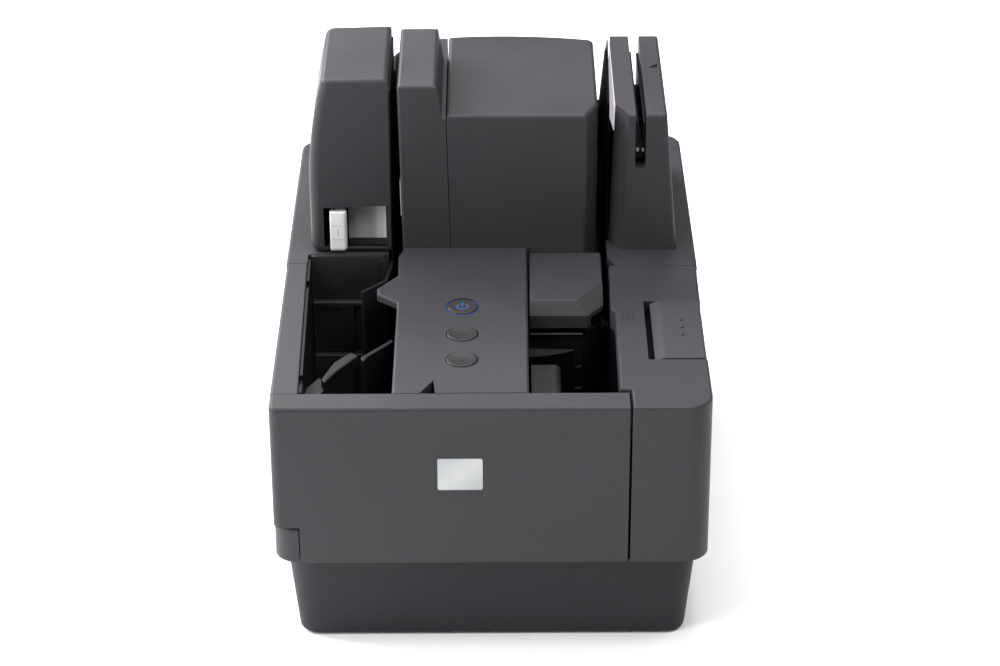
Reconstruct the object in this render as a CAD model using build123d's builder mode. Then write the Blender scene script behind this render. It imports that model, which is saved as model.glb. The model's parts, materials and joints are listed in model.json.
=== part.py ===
from build123d import *
import math
import os

os.makedirs("parts", exist_ok=True)

# ---------------------------------------------------------------------------
# Desktop cheque scanner: a U-shaped document path on a drafted base.
# Frame: +X to the right, +Y to the back, +Z up; the origin is the centre of
# the footprint on the table. The drawings below count y from the front face
# and z from the deck; Y() and Z() turn those into the part's own frame.
# ---------------------------------------------------------------------------

# overall
depth = 290.0            # front face to rear face
deck = 129.0             # deck height above the table
half_w = 100.0           # half width of the front body
half_w_rear = 100.4      # half width of the rear body
wall = 2.4               # moulded wall thickness
upper_bottom = -81.4     # lower edge of the upper body, below the deck
seam = 0.4               # gap between neighbouring mouldings

# base
base_half_w = 95.2
base_front = 7.0
base_rear = 284.0
base_top = -84.5
base_bottom = -128.4
base_draft = 6.0
base_corner_r = 14.0

# document path
path_floor_z = -60.0
core_left = -44.4        # path wall of the core, left leg
core_right = 53.4        # path wall of the core, right leg
outer_left = -48.4       # outer wall of the left leg
outer_right = 56.9       # outer wall of the right leg
core_rear = 250.0
core_corner = 12.0       # radius of the turn on the core

# towers and blocks above the deck
block_front = 150.2
big_top = 75.8
mid_top = 91.2
flange_top = 75.0
tower_front = 152.0
tower_rear = 247.0
tower_top = 76.4
tower_top_front = 75.3
left_front = 154.4
left_rear = 223.0

# front panel
panel_depth = 14.0
panel_right = 62.4
panel_pivot_y = 6.0
panel_pivot_z = -73.0

# side doors
door_left = 63.6
door_split = 136.0
door_rear = 270.0
door_pivot_x = 94.0
door_pivot_z = -76.0

# buttons
button_r = 7.2
button_x = -13.5
button_ys = (97.0, 70.5, 45.7)

# drive
feed_axis = (44.2, 120.0)
feed_r = 11.0
exit_axis = (-36.0, 160.0)
exit_r = 9.0
motor_axis = (0.0, 206.0)
shaft_r = 3.0
pinch_axis = (60.6, 120.0)
pinch_r = 5.0
fit_gap = 0.05           # radial running clearance of shafts and pins


def Y(v):
    return v - depth / 2


def Z(v):
    return v + deck


def pts(points):
    return [(x, Y(y)) for x, y in points]


def prism(points, z0, z1, mode=Mode.ADD):
    """A plan outline (x, y) extruded from z0 to z1."""
    with BuildSketch(Plane.XY.offset(Z(z0))) as s:
        with BuildLine():
            Polyline(*pts(points), close=True)
        make_face()
    extrude(s.sketch, amount=z1 - z0, mode=mode)


def block(x0, x1, y0, y1, z0, z1, mode=Mode.ADD, r=0.0):
    """A box between two corners, with rounded vertical edges if r is given."""
    with BuildSketch(Plane.XY.offset(Z(z0))) as s:
        with Locations(((x0 + x1) / 2, Y((y0 + y1) / 2))):
            if r:
                RectangleRounded(x1 - x0, y1 - y0, r)
            else:
                Rectangle(x1 - x0, y1 - y0)
    extrude(s.sketch, amount=z1 - z0, mode=mode)


def side_profile(points, x0, x1, mode=Mode.ADD):
    """A side outline (y, z) extruded from x0 to x1."""
    with BuildSketch(Plane.YZ.offset(x0)) as s:
        with BuildLine():
            Polyline(*[(Y(y), Z(z)) for y, z in points], close=True)
        make_face()
    extrude(s.sketch, amount=x1 - x0, mode=mode)


def front_profile(points, y0, y1, mode=Mode.ADD):
    """A front outline (x, z) extruded from y0 back to y1."""
    with BuildSketch(Plane.XZ.offset(-Y(y0))) as s:
        with BuildLine():
            Polyline(*[(x, Z(z)) for x, z in points], close=True)
        make_face()
    extrude(s.sketch, amount=-(y1 - y0), mode=mode)


def post(x, y, z0, z1, r, mode=Mode.ADD):
    """A vertical cylinder from z0 to z1."""
    with BuildSketch(Plane.XY.offset(Z(z0))) as s:
        with Locations((x, Y(y))):
            Circle(r)
    extrude(s.sketch, amount=z1 - z0, mode=mode)


def rod_x(y, z, x0, x1, r, mode=Mode.ADD):
    """A cylinder along X."""
    with BuildSketch(Plane.YZ.offset(x0)) as s:
        with Locations((Y(y), Z(z))):
            Circle(r)
    extrude(s.sketch, amount=x1 - x0, mode=mode)


def rod_y(x, z, y0, y1, r, mode=Mode.ADD):
    """A cylinder along Y."""
    with BuildSketch(Plane.XZ.offset(-Y(y0))) as s:
        with Locations((x, Z(z))):
            Circle(r)
    extrude(s.sketch, amount=-(y1 - y0), mode=mode)


def soften(part, edges, radii):
    """Rounds the edges with the first radius that the shape can take."""
    edges = list(edges)
    for r in radii:
        try:
            fillet(edges, radius=r)
            return
        except Exception:
            continue
    print("edges left sharp", len(edges), "on", part)


def verticals(part, x, y, tol=0.3):
    """Vertical edges standing at plan point (x, y)."""
    return [
        e
        for e in part.edges().filter_by(Axis.Z)
        if abs(e.center().X - x) < tol and abs(e.center().Y - Y(y)) < tol
    ]


def rim(part, keep):
    """Edges bounding the group of faces for which keep(face) is true, seen once only."""
    seen = {}
    for f in part.faces():
        if keep(f):
            for e in f.edges():
                c = e @ 0.5
                key = (round(c.X, 3), round(c.Y, 3), round(c.Z, 3))
                seen.setdefault(key, []).append(e)
    return [v[0] for v in seen.values() if len(v) == 1]


def up_faces(part, z_min):
    return rim(
        part,
        lambda f: f.normal_at(f.center()).Z > 0.9 and f.center().Z > Z(z_min),
    )


def save(holder, label):
    holder.part.label = label
    export_step(holder.part, f"parts/{label}.step")


# ---------------------------------------------------------------------------
# Base: drafted tray with rounded corners, screw posts and feet
# ---------------------------------------------------------------------------
screw_points = [(-74.0, 42.0), (74.0, 42.0), (-74.0, 250.0), (74.0, 250.0)]

with BuildPart() as base_pan:
    with BuildSketch(Plane.XY.offset(Z(base_top))) as base_outline:
        with Locations((0, Y((base_front + base_rear) / 2))):
            RectangleRounded(2 * base_half_w, base_rear - base_front, base_corner_r)
    extrude(base_outline.sketch, amount=-(base_top - base_bottom), taper=base_draft)
    soften("base", base_pan.faces().sort_by(Axis.Z)[0].edges(), (2.0, 1.4))
    with BuildSketch(Plane.XY.offset(Z(base_top))) as base_inner:
        with Locations((0, Y((base_front + base_rear) / 2))):
            RectangleRounded(
                2 * (base_half_w - wall), base_rear - base_front - 2 * wall, base_corner_r - wall
            )
    extrude(
        base_inner.sketch,
        amount=-(base_top - base_bottom - wall),
        taper=base_draft,
        mode=Mode.SUBTRACT,
    )
    for sx, sy in screw_points:
        post(sx, sy, base_bottom + 1.0, base_top, 5.0)
        post(sx, sy, base_bottom - 1.0, base_top + 1.0, 1.7, Mode.SUBTRACT)
        post(sx, sy, base_bottom - 1.0, base_bottom + 3.0, 3.4, Mode.SUBTRACT)
    for vy in range(9):
        block(-30, 30, 100 + 9 * vy, 103 + 9 * vy, base_bottom - 1, base_bottom + 4, Mode.SUBTRACT, r=1.4)
save(base_pan, "base_pan")

with BuildPart() as rubber_feet:
    for fx, fy in ((-72, 27), (72, 27), (-72, 265), (72, 265)):
        with BuildSketch(Plane.XY.offset(0)) as foot_outline:
            with Locations((fx, Y(fy))):
                Circle(8.0)
        extrude(foot_outline.sketch, amount=Z(base_bottom) - 0.0, taper=6)
save(rubber_feet, "rubber_feet")

with BuildPart() as cover_screws:
    for sx, sy in screw_points:
        post(sx, sy, base_bottom + 1.0, base_bottom + 3.0, 3.0)
        post(sx, sy, base_bottom + 3.0, -79.0, 1.5)
save(cover_screws, "cover_screws")

# ---------------------------------------------------------------------------
# Chassis plate: carries the floor, the motor and the hinge lugs
# ---------------------------------------------------------------------------
plate_z0, plate_z1 = -84.4, -81.4
standoffs = [(-70, 60), (-70, 150), (-30, 246), (40, 246), (40, 60), (-10, 90)]

with BuildPart() as chassis_plate:
    block(-92.2, 92.2, 18.0, 283.0, plate_z0, plate_z1, r=8)
    # left flange closes the gap under the left housings
    block(-97.2, -88.0, 20.0, 268.0, plate_z0, plate_z1)
    for sx, sy in screw_points:
        post(sx, sy, plate_z0 - 1, plate_z1 + 1, 1.6, Mode.SUBTRACT)
    for px, py in standoffs:
        post(px, py, plate_z1, path_floor_z - 2.0, 4.0)
    post(*motor_axis, plate_z0 - 1, plate_z1 + 1, 8.0, Mode.SUBTRACT)
    # lugs of the two side doors, bent up from the plate
    for ly0 in (26.0, 108.0, 148.0, 256.0):
        with BuildSketch(Plane.XZ.offset(-Y(ly0))) as lug:
            with BuildLine():
                Polyline(
                    (78, Z(plate_z1)), (91.2, Z(plate_z1)), (93.0, Z(door_pivot_z - 2.6)),
                    (95.6, Z(door_pivot_z - 1.6)), (96.6, Z(door_pivot_z)), (95.6, Z(door_pivot_z + 2.0)),
                    (93.5, Z(door_pivot_z + 2.6)), (86, Z(door_pivot_z + 1.0)), (78, Z(plate_z1 + 1.5)),
                    close=True,
                )
            make_face()
        extrude(lug.sketch, amount=-5.0)
    # lugs of the front panel
    for lx0 in (-62.0, 38.0):
        with BuildSketch(Plane.YZ.offset(lx0)) as lug2:
            with BuildLine():
                Polyline(
                    (Y(30), Z(plate_z1)), (Y(18.2), Z(plate_z1)), (Y(18.2), Z(-78.0)),
                    (Y(panel_pivot_y + 1.0), Z(panel_pivot_z - 2.8)), (Y(panel_pivot_y - 2.0), Z(panel_pivot_z - 2.0)),
                    (Y(panel_pivot_y - 2.9), Z(panel_pivot_z)), (Y(panel_pivot_y - 2.0), Z(panel_pivot_z + 2.0)),
                    (Y(panel_pivot_y + 1.0), Z(panel_pivot_z + 2.8)), (Y(22), Z(-74.0)), (Y(30), Z(-79.0)),
                    close=True,
                )
            make_face()
        extrude(lug2.sketch, amount=5.0)
    rod_y(door_pivot_x, door_pivot_z, 20, 270, 1.5, Mode.SUBTRACT)
    rod_x(panel_pivot_y, panel_pivot_z, -70, 50, 1.5, Mode.SUBTRACT)
save(chassis_plate, "chassis_plate")

with BuildPart() as door_hinge_pins:
    rod_y(door_pivot_x, door_pivot_z, 18.5, 121.0, 1.5)
    rod_y(door_pivot_x, door_pivot_z, 140.5, 267.0, 1.5)
save(door_hinge_pins, "door_hinge_pins")

# ---------------------------------------------------------------------------
# Path floor and inner walls (black mouldings)
# ---------------------------------------------------------------------------
flap_a = (-80.0, 38.0)     # pivot of the outer pocket flap
flap_b = (-47.4, 79.0)     # pivot of the inner pocket flap
left_inner_front = -87.3   # inner edge of the left deck strip at the front
left_inner_rear = -90.0    # and at the rear

with BuildPart() as path_floor:
    prism(
        [(-89.4, 17.0), (55.9, 17.0), (55.9, 256.0), (-49.6, 256.0), (-49.6, 160.0), (-89.4, 160.0)],
        path_floor_z - 2.0, path_floor_z,
    )
    post(*feed_axis, path_floor_z - 3, path_floor_z + 1, shaft_r + fit_gap, Mode.SUBTRACT)
    post(*exit_axis, path_floor_z - 3, path_floor_z + 1, shaft_r + fit_gap, Mode.SUBTRACT)
    # pins on which the pocket flaps turn
    for fx, fy in (flap_a, flap_b):
        post(fx, fy, path_floor_z - 1.0, path_floor_z + 5.5, 1.5)
save(path_floor, "path_floor")

with BuildPart() as island_frame:
    block(-44.2, 16.4, 17.4, 103.0, path_floor_z, -8.0)
    block(-42.2, 14.4, 19.4, 101.0, path_floor_z - 1, -7.0, Mode.SUBTRACT)
    # slot through which the pusher's guide passes
    block(13.0, 18.0, 35.6, 54.4, -44.4, -35.6, Mode.SUBTRACT)
save(island_frame, "island_frame")


def core_outline():
    """Closed plan of the core under the blocks, with the turn's rounded rear corners."""
    with BuildLine() as outline:
        l1 = Line((core_left, Y(104.2)), (core_left, Y(core_rear - core_corner)))
        a1 = TangentArc(l1 @ 1, (core_left + core_corner, Y(core_rear)), tangent=l1 % 1)
        l2 = Line(a1 @ 1, (core_right - core_corner, Y(core_rear)))
        a2 = TangentArc(l2 @ 1, (core_right, Y(core_rear - core_corner)), tangent=l2 % 1)
        Line(a2 @ 1, (core_right, Y(112.0)))
        Line((core_right, Y(112.0)), (45.6, Y(104.2)))
        Line((45.6, Y(104.2)), l1 @ 0)
    return outline.line.edges()


with BuildPart() as core_frame:
    with BuildSketch(Plane.XY.offset(Z(path_floor_z))) as core_sketch:
        make_face(core_outline())
    extrude(core_sketch.sketch, amount=-8.0 - path_floor_z)
    with BuildSketch(Plane.XY.offset(Z(path_floor_z - 1))) as core_hollow:
        make_face(core_outline())
        offset(amount=-2.0, mode=Mode.REPLACE)
    extrude(core_hollow.sketch, amount=-11.0 - path_floor_z + 1, mode=Mode.SUBTRACT)
    # roller windows in the two path walls
    block(45.0, 56.0, 108.4, 131.6, -54.0, -18.0, Mode.SUBTRACT)
    block(-47.0, -41.0, 151.0, 169.0, -54.0, -22.0, Mode.SUBTRACT)
    # window of the inner image sensor and of the magnetic head
    block(50.0, 56.0, 168.0, 181.0, -56.0, -14.0, Mode.SUBTRACT)
    block(50.0, 56.0, 144.0, 152.0, -56.0, -40.0, Mode.SUBTRACT)
    post(*feed_axis, -12.0, -7.0, shaft_r + fit_gap, Mode.SUBTRACT)
    post(*exit_axis, -12.0, -7.0, shaft_r + fit_gap, Mode.SUBTRACT)
save(core_frame, "core_frame")

with BuildPart() as inner_image_sensor:
    block(41.0, 51.2, 168.6, 180.4, path_floor_z, -16.0)
    block(51.2, 52.6, 168.6, 180.4, -55.0, -16.0)
    block(52.6, 54.2, 170.0, 179.0, -54.0, -17.0)
save(inner_image_sensor, "inner_image_sensor")

with BuildPart() as micr_head:
    block(44.0, 51.2, 144.6, 151.4, path_floor_z, -42.0)
    block(51.2, 52.0, 144.6, 151.4, -55.0, -42.0)
    with BuildSketch(Plane.XY.offset(Z(-54.0))) as head_nose:
        with BuildLine():
            nose_l = Line((52.0, Y(145.2)), (52.0, Y(150.8)))
            ThreePointArc(nose_l @ 1, (54.4, Y(148.0)), nose_l @ 0)
        make_face()
    extrude(head_nose.sketch, amount=11.0)
save(micr_head, "micr_head")

# outer wall of the left leg, below the deck, flaring out into the pockets
with BuildPart() as pocket_divider:
    with BuildSketch(Plane.XY.offset(Z(path_floor_z))) as divider_sketch:
        with BuildLine():
            Polyline(
                *pts(
                    [
                        (outer_left, 222), (outer_left, 150.5), (-50.8, 133.8), (-61.4, 122.4), (-62.4, 123.6),
                        (-52.1, 134.8), (outer_left - 1.6, 151.0), (outer_left - 1.6, 222),
                    ]
                ),
                close=True,
            )
        make_face()
    extrude(divider_sketch.sketch, amount=-4.6 - path_floor_z)
    post(-61.9, 123.0, path_floor_z, -4.6, 1.0)
save(pocket_divider, "pocket_divider")

# rear guide: the outer wall of the turn, round the back of the core
turn_gap = 3.4
guide_tall = 68.0
with BuildPart() as rear_path_guide:
    gl = core_left - turn_gap
    gr = core_right + turn_gap
    turn_y = core_rear - core_corner
    turn_r = core_corner + turn_gap
    with BuildSketch(Plane.XY.offset(Z(path_floor_z))) as turn_sketch:
        with BuildLine():
            o1 = Line((gl - 1.6, Y(224.0)), (gl - 1.6, Y(turn_y)))
            o2 = TangentArc(o1 @ 1, (gl + turn_r, Y(core_rear + turn_gap + 1.6)), tangent=(0, 1))
            o3 = Line(o2 @ 1, (gr - turn_r, Y(core_rear + turn_gap + 1.6)))
            o4 = TangentArc(o3 @ 1, (gr + 1.6, Y(turn_y)), tangent=(1, 0))
            o5 = Line(o4 @ 1, (gr, Y(turn_y)))
            o6 = TangentArc(o5 @ 1, (gr - turn_r, Y(core_rear + turn_gap)), tangent=(0, 1))
            o7 = Line(o6 @ 1, (gl + turn_r, Y(core_rear + turn_gap)))
            o8 = TangentArc(o7 @ 1, (gl, Y(turn_y)), tangent=(-1, 0))
            o9 = Line(o8 @ 1, (gl, Y(224.0)))
            Line(o9 @ 1, o1 @ 0)
        make_face()
    extrude(turn_sketch.sketch, amount=guide_tall - path_floor_z)
    # only the left end, where the print head sits, stands tall
    block(-34.0, 50.0, 220.0, 262.0, 20.0, guide_tall + 1, Mode.SUBTRACT)
    block(49.9, 70.0, 220.0, 262.0, 41.0, guide_tall + 1, Mode.SUBTRACT)
    block(49.9, 70.0, 220.0, 246.8, 20.0, guide_tall + 1, Mode.SUBTRACT)
    # the door's guide takes over on the right
    block(56.2, 60.0, 230.0, 260.0, path_floor_z - 1, 30.0, Mode.SUBTRACT)
save(rear_path_guide, "rear_path_guide")

# ---------------------------------------------------------------------------
# Left pocket: back wall with two ledges and a groove, thin liner on the left
# ---------------------------------------------------------------------------
with BuildPart() as pocket_back_wall:
    block(-88.5, -52.6, 151.8, 153.6, path_floor_z, -0.2)
    # the wall steps forward at two ledges
    block(-88.0, -54.5, 148.8, 151.8, path_floor_z, -24.0)
    block(-88.0, -54.5, 146.0, 148.8, path_floor_z, -52.4)
    # chamfered return towards the path
    prism([(-54.5, 151.8), (-54.5, 150.4), (-50.6, 153.0), (-50.6, 153.6), (-52.6, 153.6)], path_floor_z, -2.4)
    # upright groove and a shallow field in the middle step
    block(-68.2, -63.2, 148.0, 150.6, -52.0, -26.4, Mode.SUBTRACT)
    block(-84.6, -69.6, 148.0, 149.2, -50.6, -27.6, Mode.SUBTRACT)
    # soft upper edges of the ledges
    soften("ledge", [e for e in pocket_back_wall.edges().filter_by(Axis.X) if abs(e.center().Z - Z(-24.0)) < 0.01 and abs(e.center().Y - Y(148.8)) < 0.01], (0.7, 0.4))
    soften("ledge", [e for e in pocket_back_wall.edges().filter_by(Axis.X) if abs(e.center().Z - Z(-52.4)) < 0.01 and abs(e.center().Y - Y(146.0)) < 0.01], (0.7, 0.4))
save(pocket_back_wall, "pocket_back_wall")

with BuildPart() as pocket_liner:
    prism(
        [(-87.1, 17.0), (-85.9, 17.0), (-88.5, 144.0), (-88.6, 150.0), (-89.8, 150.0), (-89.7, 144.0)],
        path_floor_z, -0.9,
    )
    # two notches in the upper edge
    block(-91.5, -84.0, 24.0, 33.0, -3.2, 0, Mode.SUBTRACT)
    block(-91.5, -84.0, 119.0, 127.0, -3.2, 0, Mode.SUBTRACT)
save(pocket_liner, "pocket_liner")

# ---------------------------------------------------------------------------
# Hopper: rear wall, leaf, pusher
# ---------------------------------------------------------------------------
with BuildPart() as hopper_rear_wall:
    prism(
        [(17.2, 99.2), (43.6, 99.2), (52.6, 109.0), (52.6, 110.8), (45.6, 104.2), (17.2, 104.2)],
        path_floor_z, -15.4,
    )
save(hopper_rear_wall, "hopper_rear_wall")

with BuildPart() as hopper_leaf:
    with BuildSketch(Plane.XY.offset(Z(-46.0))) as leaf_sketch:
        with BuildLine():
            lf1 = ThreePointArc((16.4, Y(77.0)), (28.8, Y(78.8)), (39.4, Y(83.4)))
            lf2 = Line(lf1 @ 1, (39.0, Y(84.2)))
            lf3 = ThreePointArc(lf2 @ 1, (28.6, Y(84.6)), (16.4, Y(85.6)))
            Line(lf3 @ 1, lf1 @ 0)
        make_face()
    extrude(leaf_sketch.sketch, amount=30.0)
save(hopper_leaf, "hopper_leaf")

with BuildPart() as hopper_pusher:
    block(18.6, 32.4, 21.0, 60.2, -56.0, -10.4)
    soften("pusher", [e for e in hopper_pusher.edges().filter_by(Axis.Y) if e.center().Z > Z(-11) and e.center().X > 30], (3.0, 2.0))
    soften("pusher", [e for e in hopper_pusher.edges() if e.center().Y > Y(59.8) and e.center().Z > Z(-50)], (1.4, 0.8))
    block(20.6, 30.2, 23.4, 57.8, -57.0, -13.0, Mode.SUBTRACT)
    # guide tongue through the island wall
    block(-8.0, 20.7, 36.0, 54.0, -44.0, -36.0)
save(hopper_pusher, "hopper_pusher")

# ---------------------------------------------------------------------------
# Pocket flaps: sprung arms on upright pivots
# ---------------------------------------------------------------------------

with BuildPart() as outer_pocket_flap:
    post(*flap_a, path_floor_z + 0.6, -30.0, 3.0)
    # arm, widest at the middle, with soft upper edges
    prism(
        [
            (-77.0, 39.4), (-70.9, 51.8), (-62.9, 64.2), (-62.5, 66.4), (-65.8, 69.0), (-73.1, 59.6),
            (-75.5, 52.7), (-78.5, 43.0),
        ],
        -54.0, -8.6,
    )
    soften("outer flap", up_faces(outer_pocket_flap, -12), (0.8, 0.5))
    # lower root that reaches towards the front corner
    prism([(-77.0, 39.4), (-78.8, 35.6), (-85.2, 30.0), (-86.2, 33.4), (-85.0, 41.6), (-79.9, 50.6), (-77.0, 46.4)], -46.0, -12.4)
    soften("outer flap root", up_faces(outer_pocket_flap, -13.0)[-6:], (0.6, 0.3))
    post(*flap_a, path_floor_z - 1, path_floor_z + 6.0, 1.5 + fit_gap, Mode.SUBTRACT)
save(outer_pocket_flap, "outer_pocket_flap")

with BuildPart() as inner_pocket_flap:
    post(*flap_b, path_floor_z + 0.6, -30.0, 2.2)
    # thin blade with a hooked end
    prism([(-46.0, 79.0), (-58.0, 63.6), (-59.2, 59.8), (-60.4, 60.4), (-61.0, 63.8), (-59.9, 65.0), (-47.2, 80.9)], -56.0, -8.4)
    soften("inner flap", up_faces(inner_pocket_flap, -12), (0.4, 0.3))
    post(*flap_b, path_floor_z - 1, path_floor_z + 6.0, 1.5 + fit_gap, Mode.SUBTRACT)
save(inner_pocket_flap, "inner_pocket_flap")

# ---------------------------------------------------------------------------
# Left front housing: side wall, deck strip and the small corner block
# ---------------------------------------------------------------------------
left_seam = 144.0

with BuildPart() as left_front_housing:
    prism(
        [(-100, 14.4), (left_inner_front, 14.4), (left_inner_rear + 0.1, left_seam - seam / 2), (-100, left_seam - seam / 2)],
        upper_bottom, 0,
    )
    soften("left housing", [e for e in left_front_housing.edges().filter_by(Axis.Y) if e.center().X < -99 and e.center().Z > Z(-1)], (1.4, 1.0))
    soften("left housing", [e for e in left_front_housing.edges() if e.center().X > -92 and e.center().Z > Z(-0.5) and e.length > 60], (0.6, 0.4))
    prism([(-97.6, 16.8), (-80.0, 16.8), (-80.0, left_seam - 2.6), (-97.6, left_seam - 2.6)], upper_bottom - 1, -wall, Mode.SUBTRACT)
    # small corner block under the front panel's notch
    block(-100, -88.5, 0.6, 16.8, upper_bottom, -63.6)
    soften("corner block", verticals(left_front_housing, -100, 0.6), (11.0, 8.0, 6.0))
    soften("corner block", [e for e in left_front_housing.edges() if e.center().Y < Y(0.9) and e.center().Z > Z(-64)], (1.5, 1.0))
    block(-97.6, -91.0, 5.0, 16.8, upper_bottom - 1, -66.0, Mode.SUBTRACT)
    # room for the lower edge of the front panel as it drops forward
    block(-89.0, -86.0, 13.0, 19.0, upper_bottom - 1, -66.0, Mode.SUBTRACT)
    # inner feet on the chassis plate
    for fy in (50.0, 110.0):
        block(-97.7, -84.0, fy, fy + 12.0, upper_bottom, upper_bottom + 2.0)
save(left_front_housing, "left_front_housing")

# ---------------------------------------------------------------------------
# Left rear housing: carries the left cover
# ---------------------------------------------------------------------------
with BuildPart() as left_rear_housing:
    prism(
        [
            (-half_w_rear, left_seam + seam / 2), (left_inner_rear, left_seam + seam / 2), (left_inner_rear, 153.8),
            (-50.4, 153.8), (-50.4, door_rear - seam / 2), (-half_w_rear + 0.4, door_rear - seam / 2),
        ],
        upper_bottom, 0,
    )
    soften("left rear", [e for e in left_rear_housing.edges() if e.center().X < -99.5 and e.center().Z > Z(-1) and e.length > 60], (1.4, 1.0))
    prism(
        [(-98.0, 147.0), (-92.4, 147.0), (-92.4, 156.4), (-44.0, 156.4), (-44.0, door_rear - 2.6), (-98.0, door_rear - 2.6)],
        upper_bottom - 1, -wall, Mode.SUBTRACT,
    )
    block(-92.6, -40.0, 153.0, 157.0, upper_bottom - 1, -wall - 0.001, Mode.SUBTRACT)
    for fy in (170.0, 240.0):
        block(-98.2, -84.0, fy, fy + 12.0, upper_bottom, upper_bottom + 2.0)
save(left_rear_housing, "left_rear_housing")

# ---------------------------------------------------------------------------
# Rear cover: back panel with rounded corners, sockets and vents
# ---------------------------------------------------------------------------
with BuildPart() as rear_cover:
    prism([(-100, door_rear + seam / 2), (-50.0, door_rear + seam / 2), (-50.0, 256.4), (56.4, 256.4), (56.4, door_rear + seam / 2), (100, door_rear + seam / 2), (100, depth), (-100, depth)], upper_bottom, 0)
    # the right end is level with the card housing's deck
    prism([(60.0, door_rear + seam / 2), (100, door_rear + seam / 2), (100, depth), (60.0, depth)], -4.0, 2.6)
    soften("rear cover", verticals(rear_cover, -100, depth) + verticals(rear_cover, 100, depth), (12.0, 8.0))
    soften(
        "rear cover",
        [e for e in rim(rear_cover, lambda f: f.normal_at(f.center()).Z > 0.9 and f.center().Z > Z(-1)) if (e @ 0.5).Y > Y(door_rear + 2) and abs((e @ 0.5).X) < 101 and abs((e @ 0.5).X - 60.0) > 0.2],
        (1.4, 1.0),
    )
    prism([(-97.4, 272.6), (-47.6, 272.6), (-47.6, 258.8), (54.0, 258.8), (54.0, 272.6), (97.4, 272.6), (97.4, 277.4), (89, depth - wall), (-89, depth - wall), (-97.4, 277.4)], upper_bottom - 1, -wall, Mode.SUBTRACT)
    # the forward walls stay open under the deck
    block(-99, 99, 250, 272, upper_bottom - 1, -wall - 0.001, Mode.SUBTRACT)
    for fx in (-80.0, 60.0):
        block(fx, fx + 20.0, 274.0, depth - wall + 0.1, upper_bottom, upper_bottom + 2.0)
    # sockets
    block(52.0, 62.0, depth - 4, depth + 1, -68.0, -58.0, Mode.SUBTRACT)
    block(28.0, 41.0, depth - 4, depth + 1, -69.0, -57.0, Mode.SUBTRACT)
    # vent slots
    for v in range(8):
        block(-60.0, -14.0, depth - 4, depth + 1, -66.0 + 4.6 * v, -63.8 + 4.6 * v, Mode.SUBTRACT)
save(rear_cover, "rear_cover")

with BuildPart() as power_inlet:
    block(52.3, 61.7, depth - 14.0, depth - 0.8, -67.7, -58.3)
    block(50.4, 63.6, depth - 4.4, depth - wall, -69.6, -56.4)
    rod_y(57.0, -63.0, depth - 11.0, depth, 3.0, Mode.SUBTRACT)
    rod_y(57.0, -63.0, depth - 12.0, depth - 3.0, 0.95)
save(power_inlet, "power_inlet")

with BuildPart() as usb_port:
    block(28.3, 40.7, depth - 16.0, depth - 0.6, -68.7, -57.3)
    block(26.4, 42.6, depth - 4.4, depth - wall, -70.6, -55.4)
    block(30.4, 38.6, depth - 10.0, depth, -66.9, -59.1, Mode.SUBTRACT)
    block(32.0, 37.0, depth - 11.0, depth - 2.0, -64.4, -61.6)
save(usb_port, "usb_port")

# ---------------------------------------------------------------------------
# Control panel: flat front, shallow ramp to the blocks, beak on the left
# ---------------------------------------------------------------------------
ramp_y0, ramp_y1 = 82.0, 117.0
ramp_angle = math.radians(6.0)
ramp_z1 = (ramp_y1 - ramp_y0) * math.tan(ramp_angle / 2)
panel_rear = 149.6
panel_rear_z = ramp_z1 + (panel_rear + 10 - ramp_y1) * math.tan(ramp_angle)


def ramp_solid(x0, x1, y0, low, drop, mode=Mode.ADD):
    """Solid under the control panel's surface, lowered by drop."""
    with BuildSketch(Plane.YZ.offset(x0)) as s:
        with BuildLine():
            r1 = Line((Y(y0), Z(-drop)), (Y(ramp_y0), Z(-drop)))
            r2 = TangentArc(r1 @ 1, (Y(ramp_y1), Z(ramp_z1 - drop)), tangent=(1, 0))
            r3 = Line(r2 @ 1, (Y(panel_rear + 10), Z(panel_rear_z - drop)))
            r4 = Line(r3 @ 1, (Y(panel_rear + 10), Z(low)))
            r5 = Line(r4 @ 1, (Y(y0), Z(low)))
            Line(r5 @ 1, r1 @ 0)
        make_face()
    extrude(s.sketch, amount=x1 - x0, mode=mode)


panel_plan = [
    (-45.0, 14.6), (-32.4, 14.6), (-26.3, 26.2), (-25.2, 14.6), (17.2, 14.6), (17.7, panel_rear), (-42.8, panel_rear),
    (-43.2, 146.4), (-45.2, 142.6), (-44.9, 126.4), (-54.9, 114.6), (-54.5, 109.6), (-44.9, 101.6),
]
panel_plan_inner = [
    (-42.6, 17.0), (-34.2, 17.0), (-28.8, 27.4), (-24.6, 30.4), (-22.8, 17.0), (14.8, 17.0), (15.2, panel_rear - 2.4),
    (-40.6, panel_rear - 2.4), (-42.6, 141.0), (-42.4, 125.2), (-42.5, 103.8),
]

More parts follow.
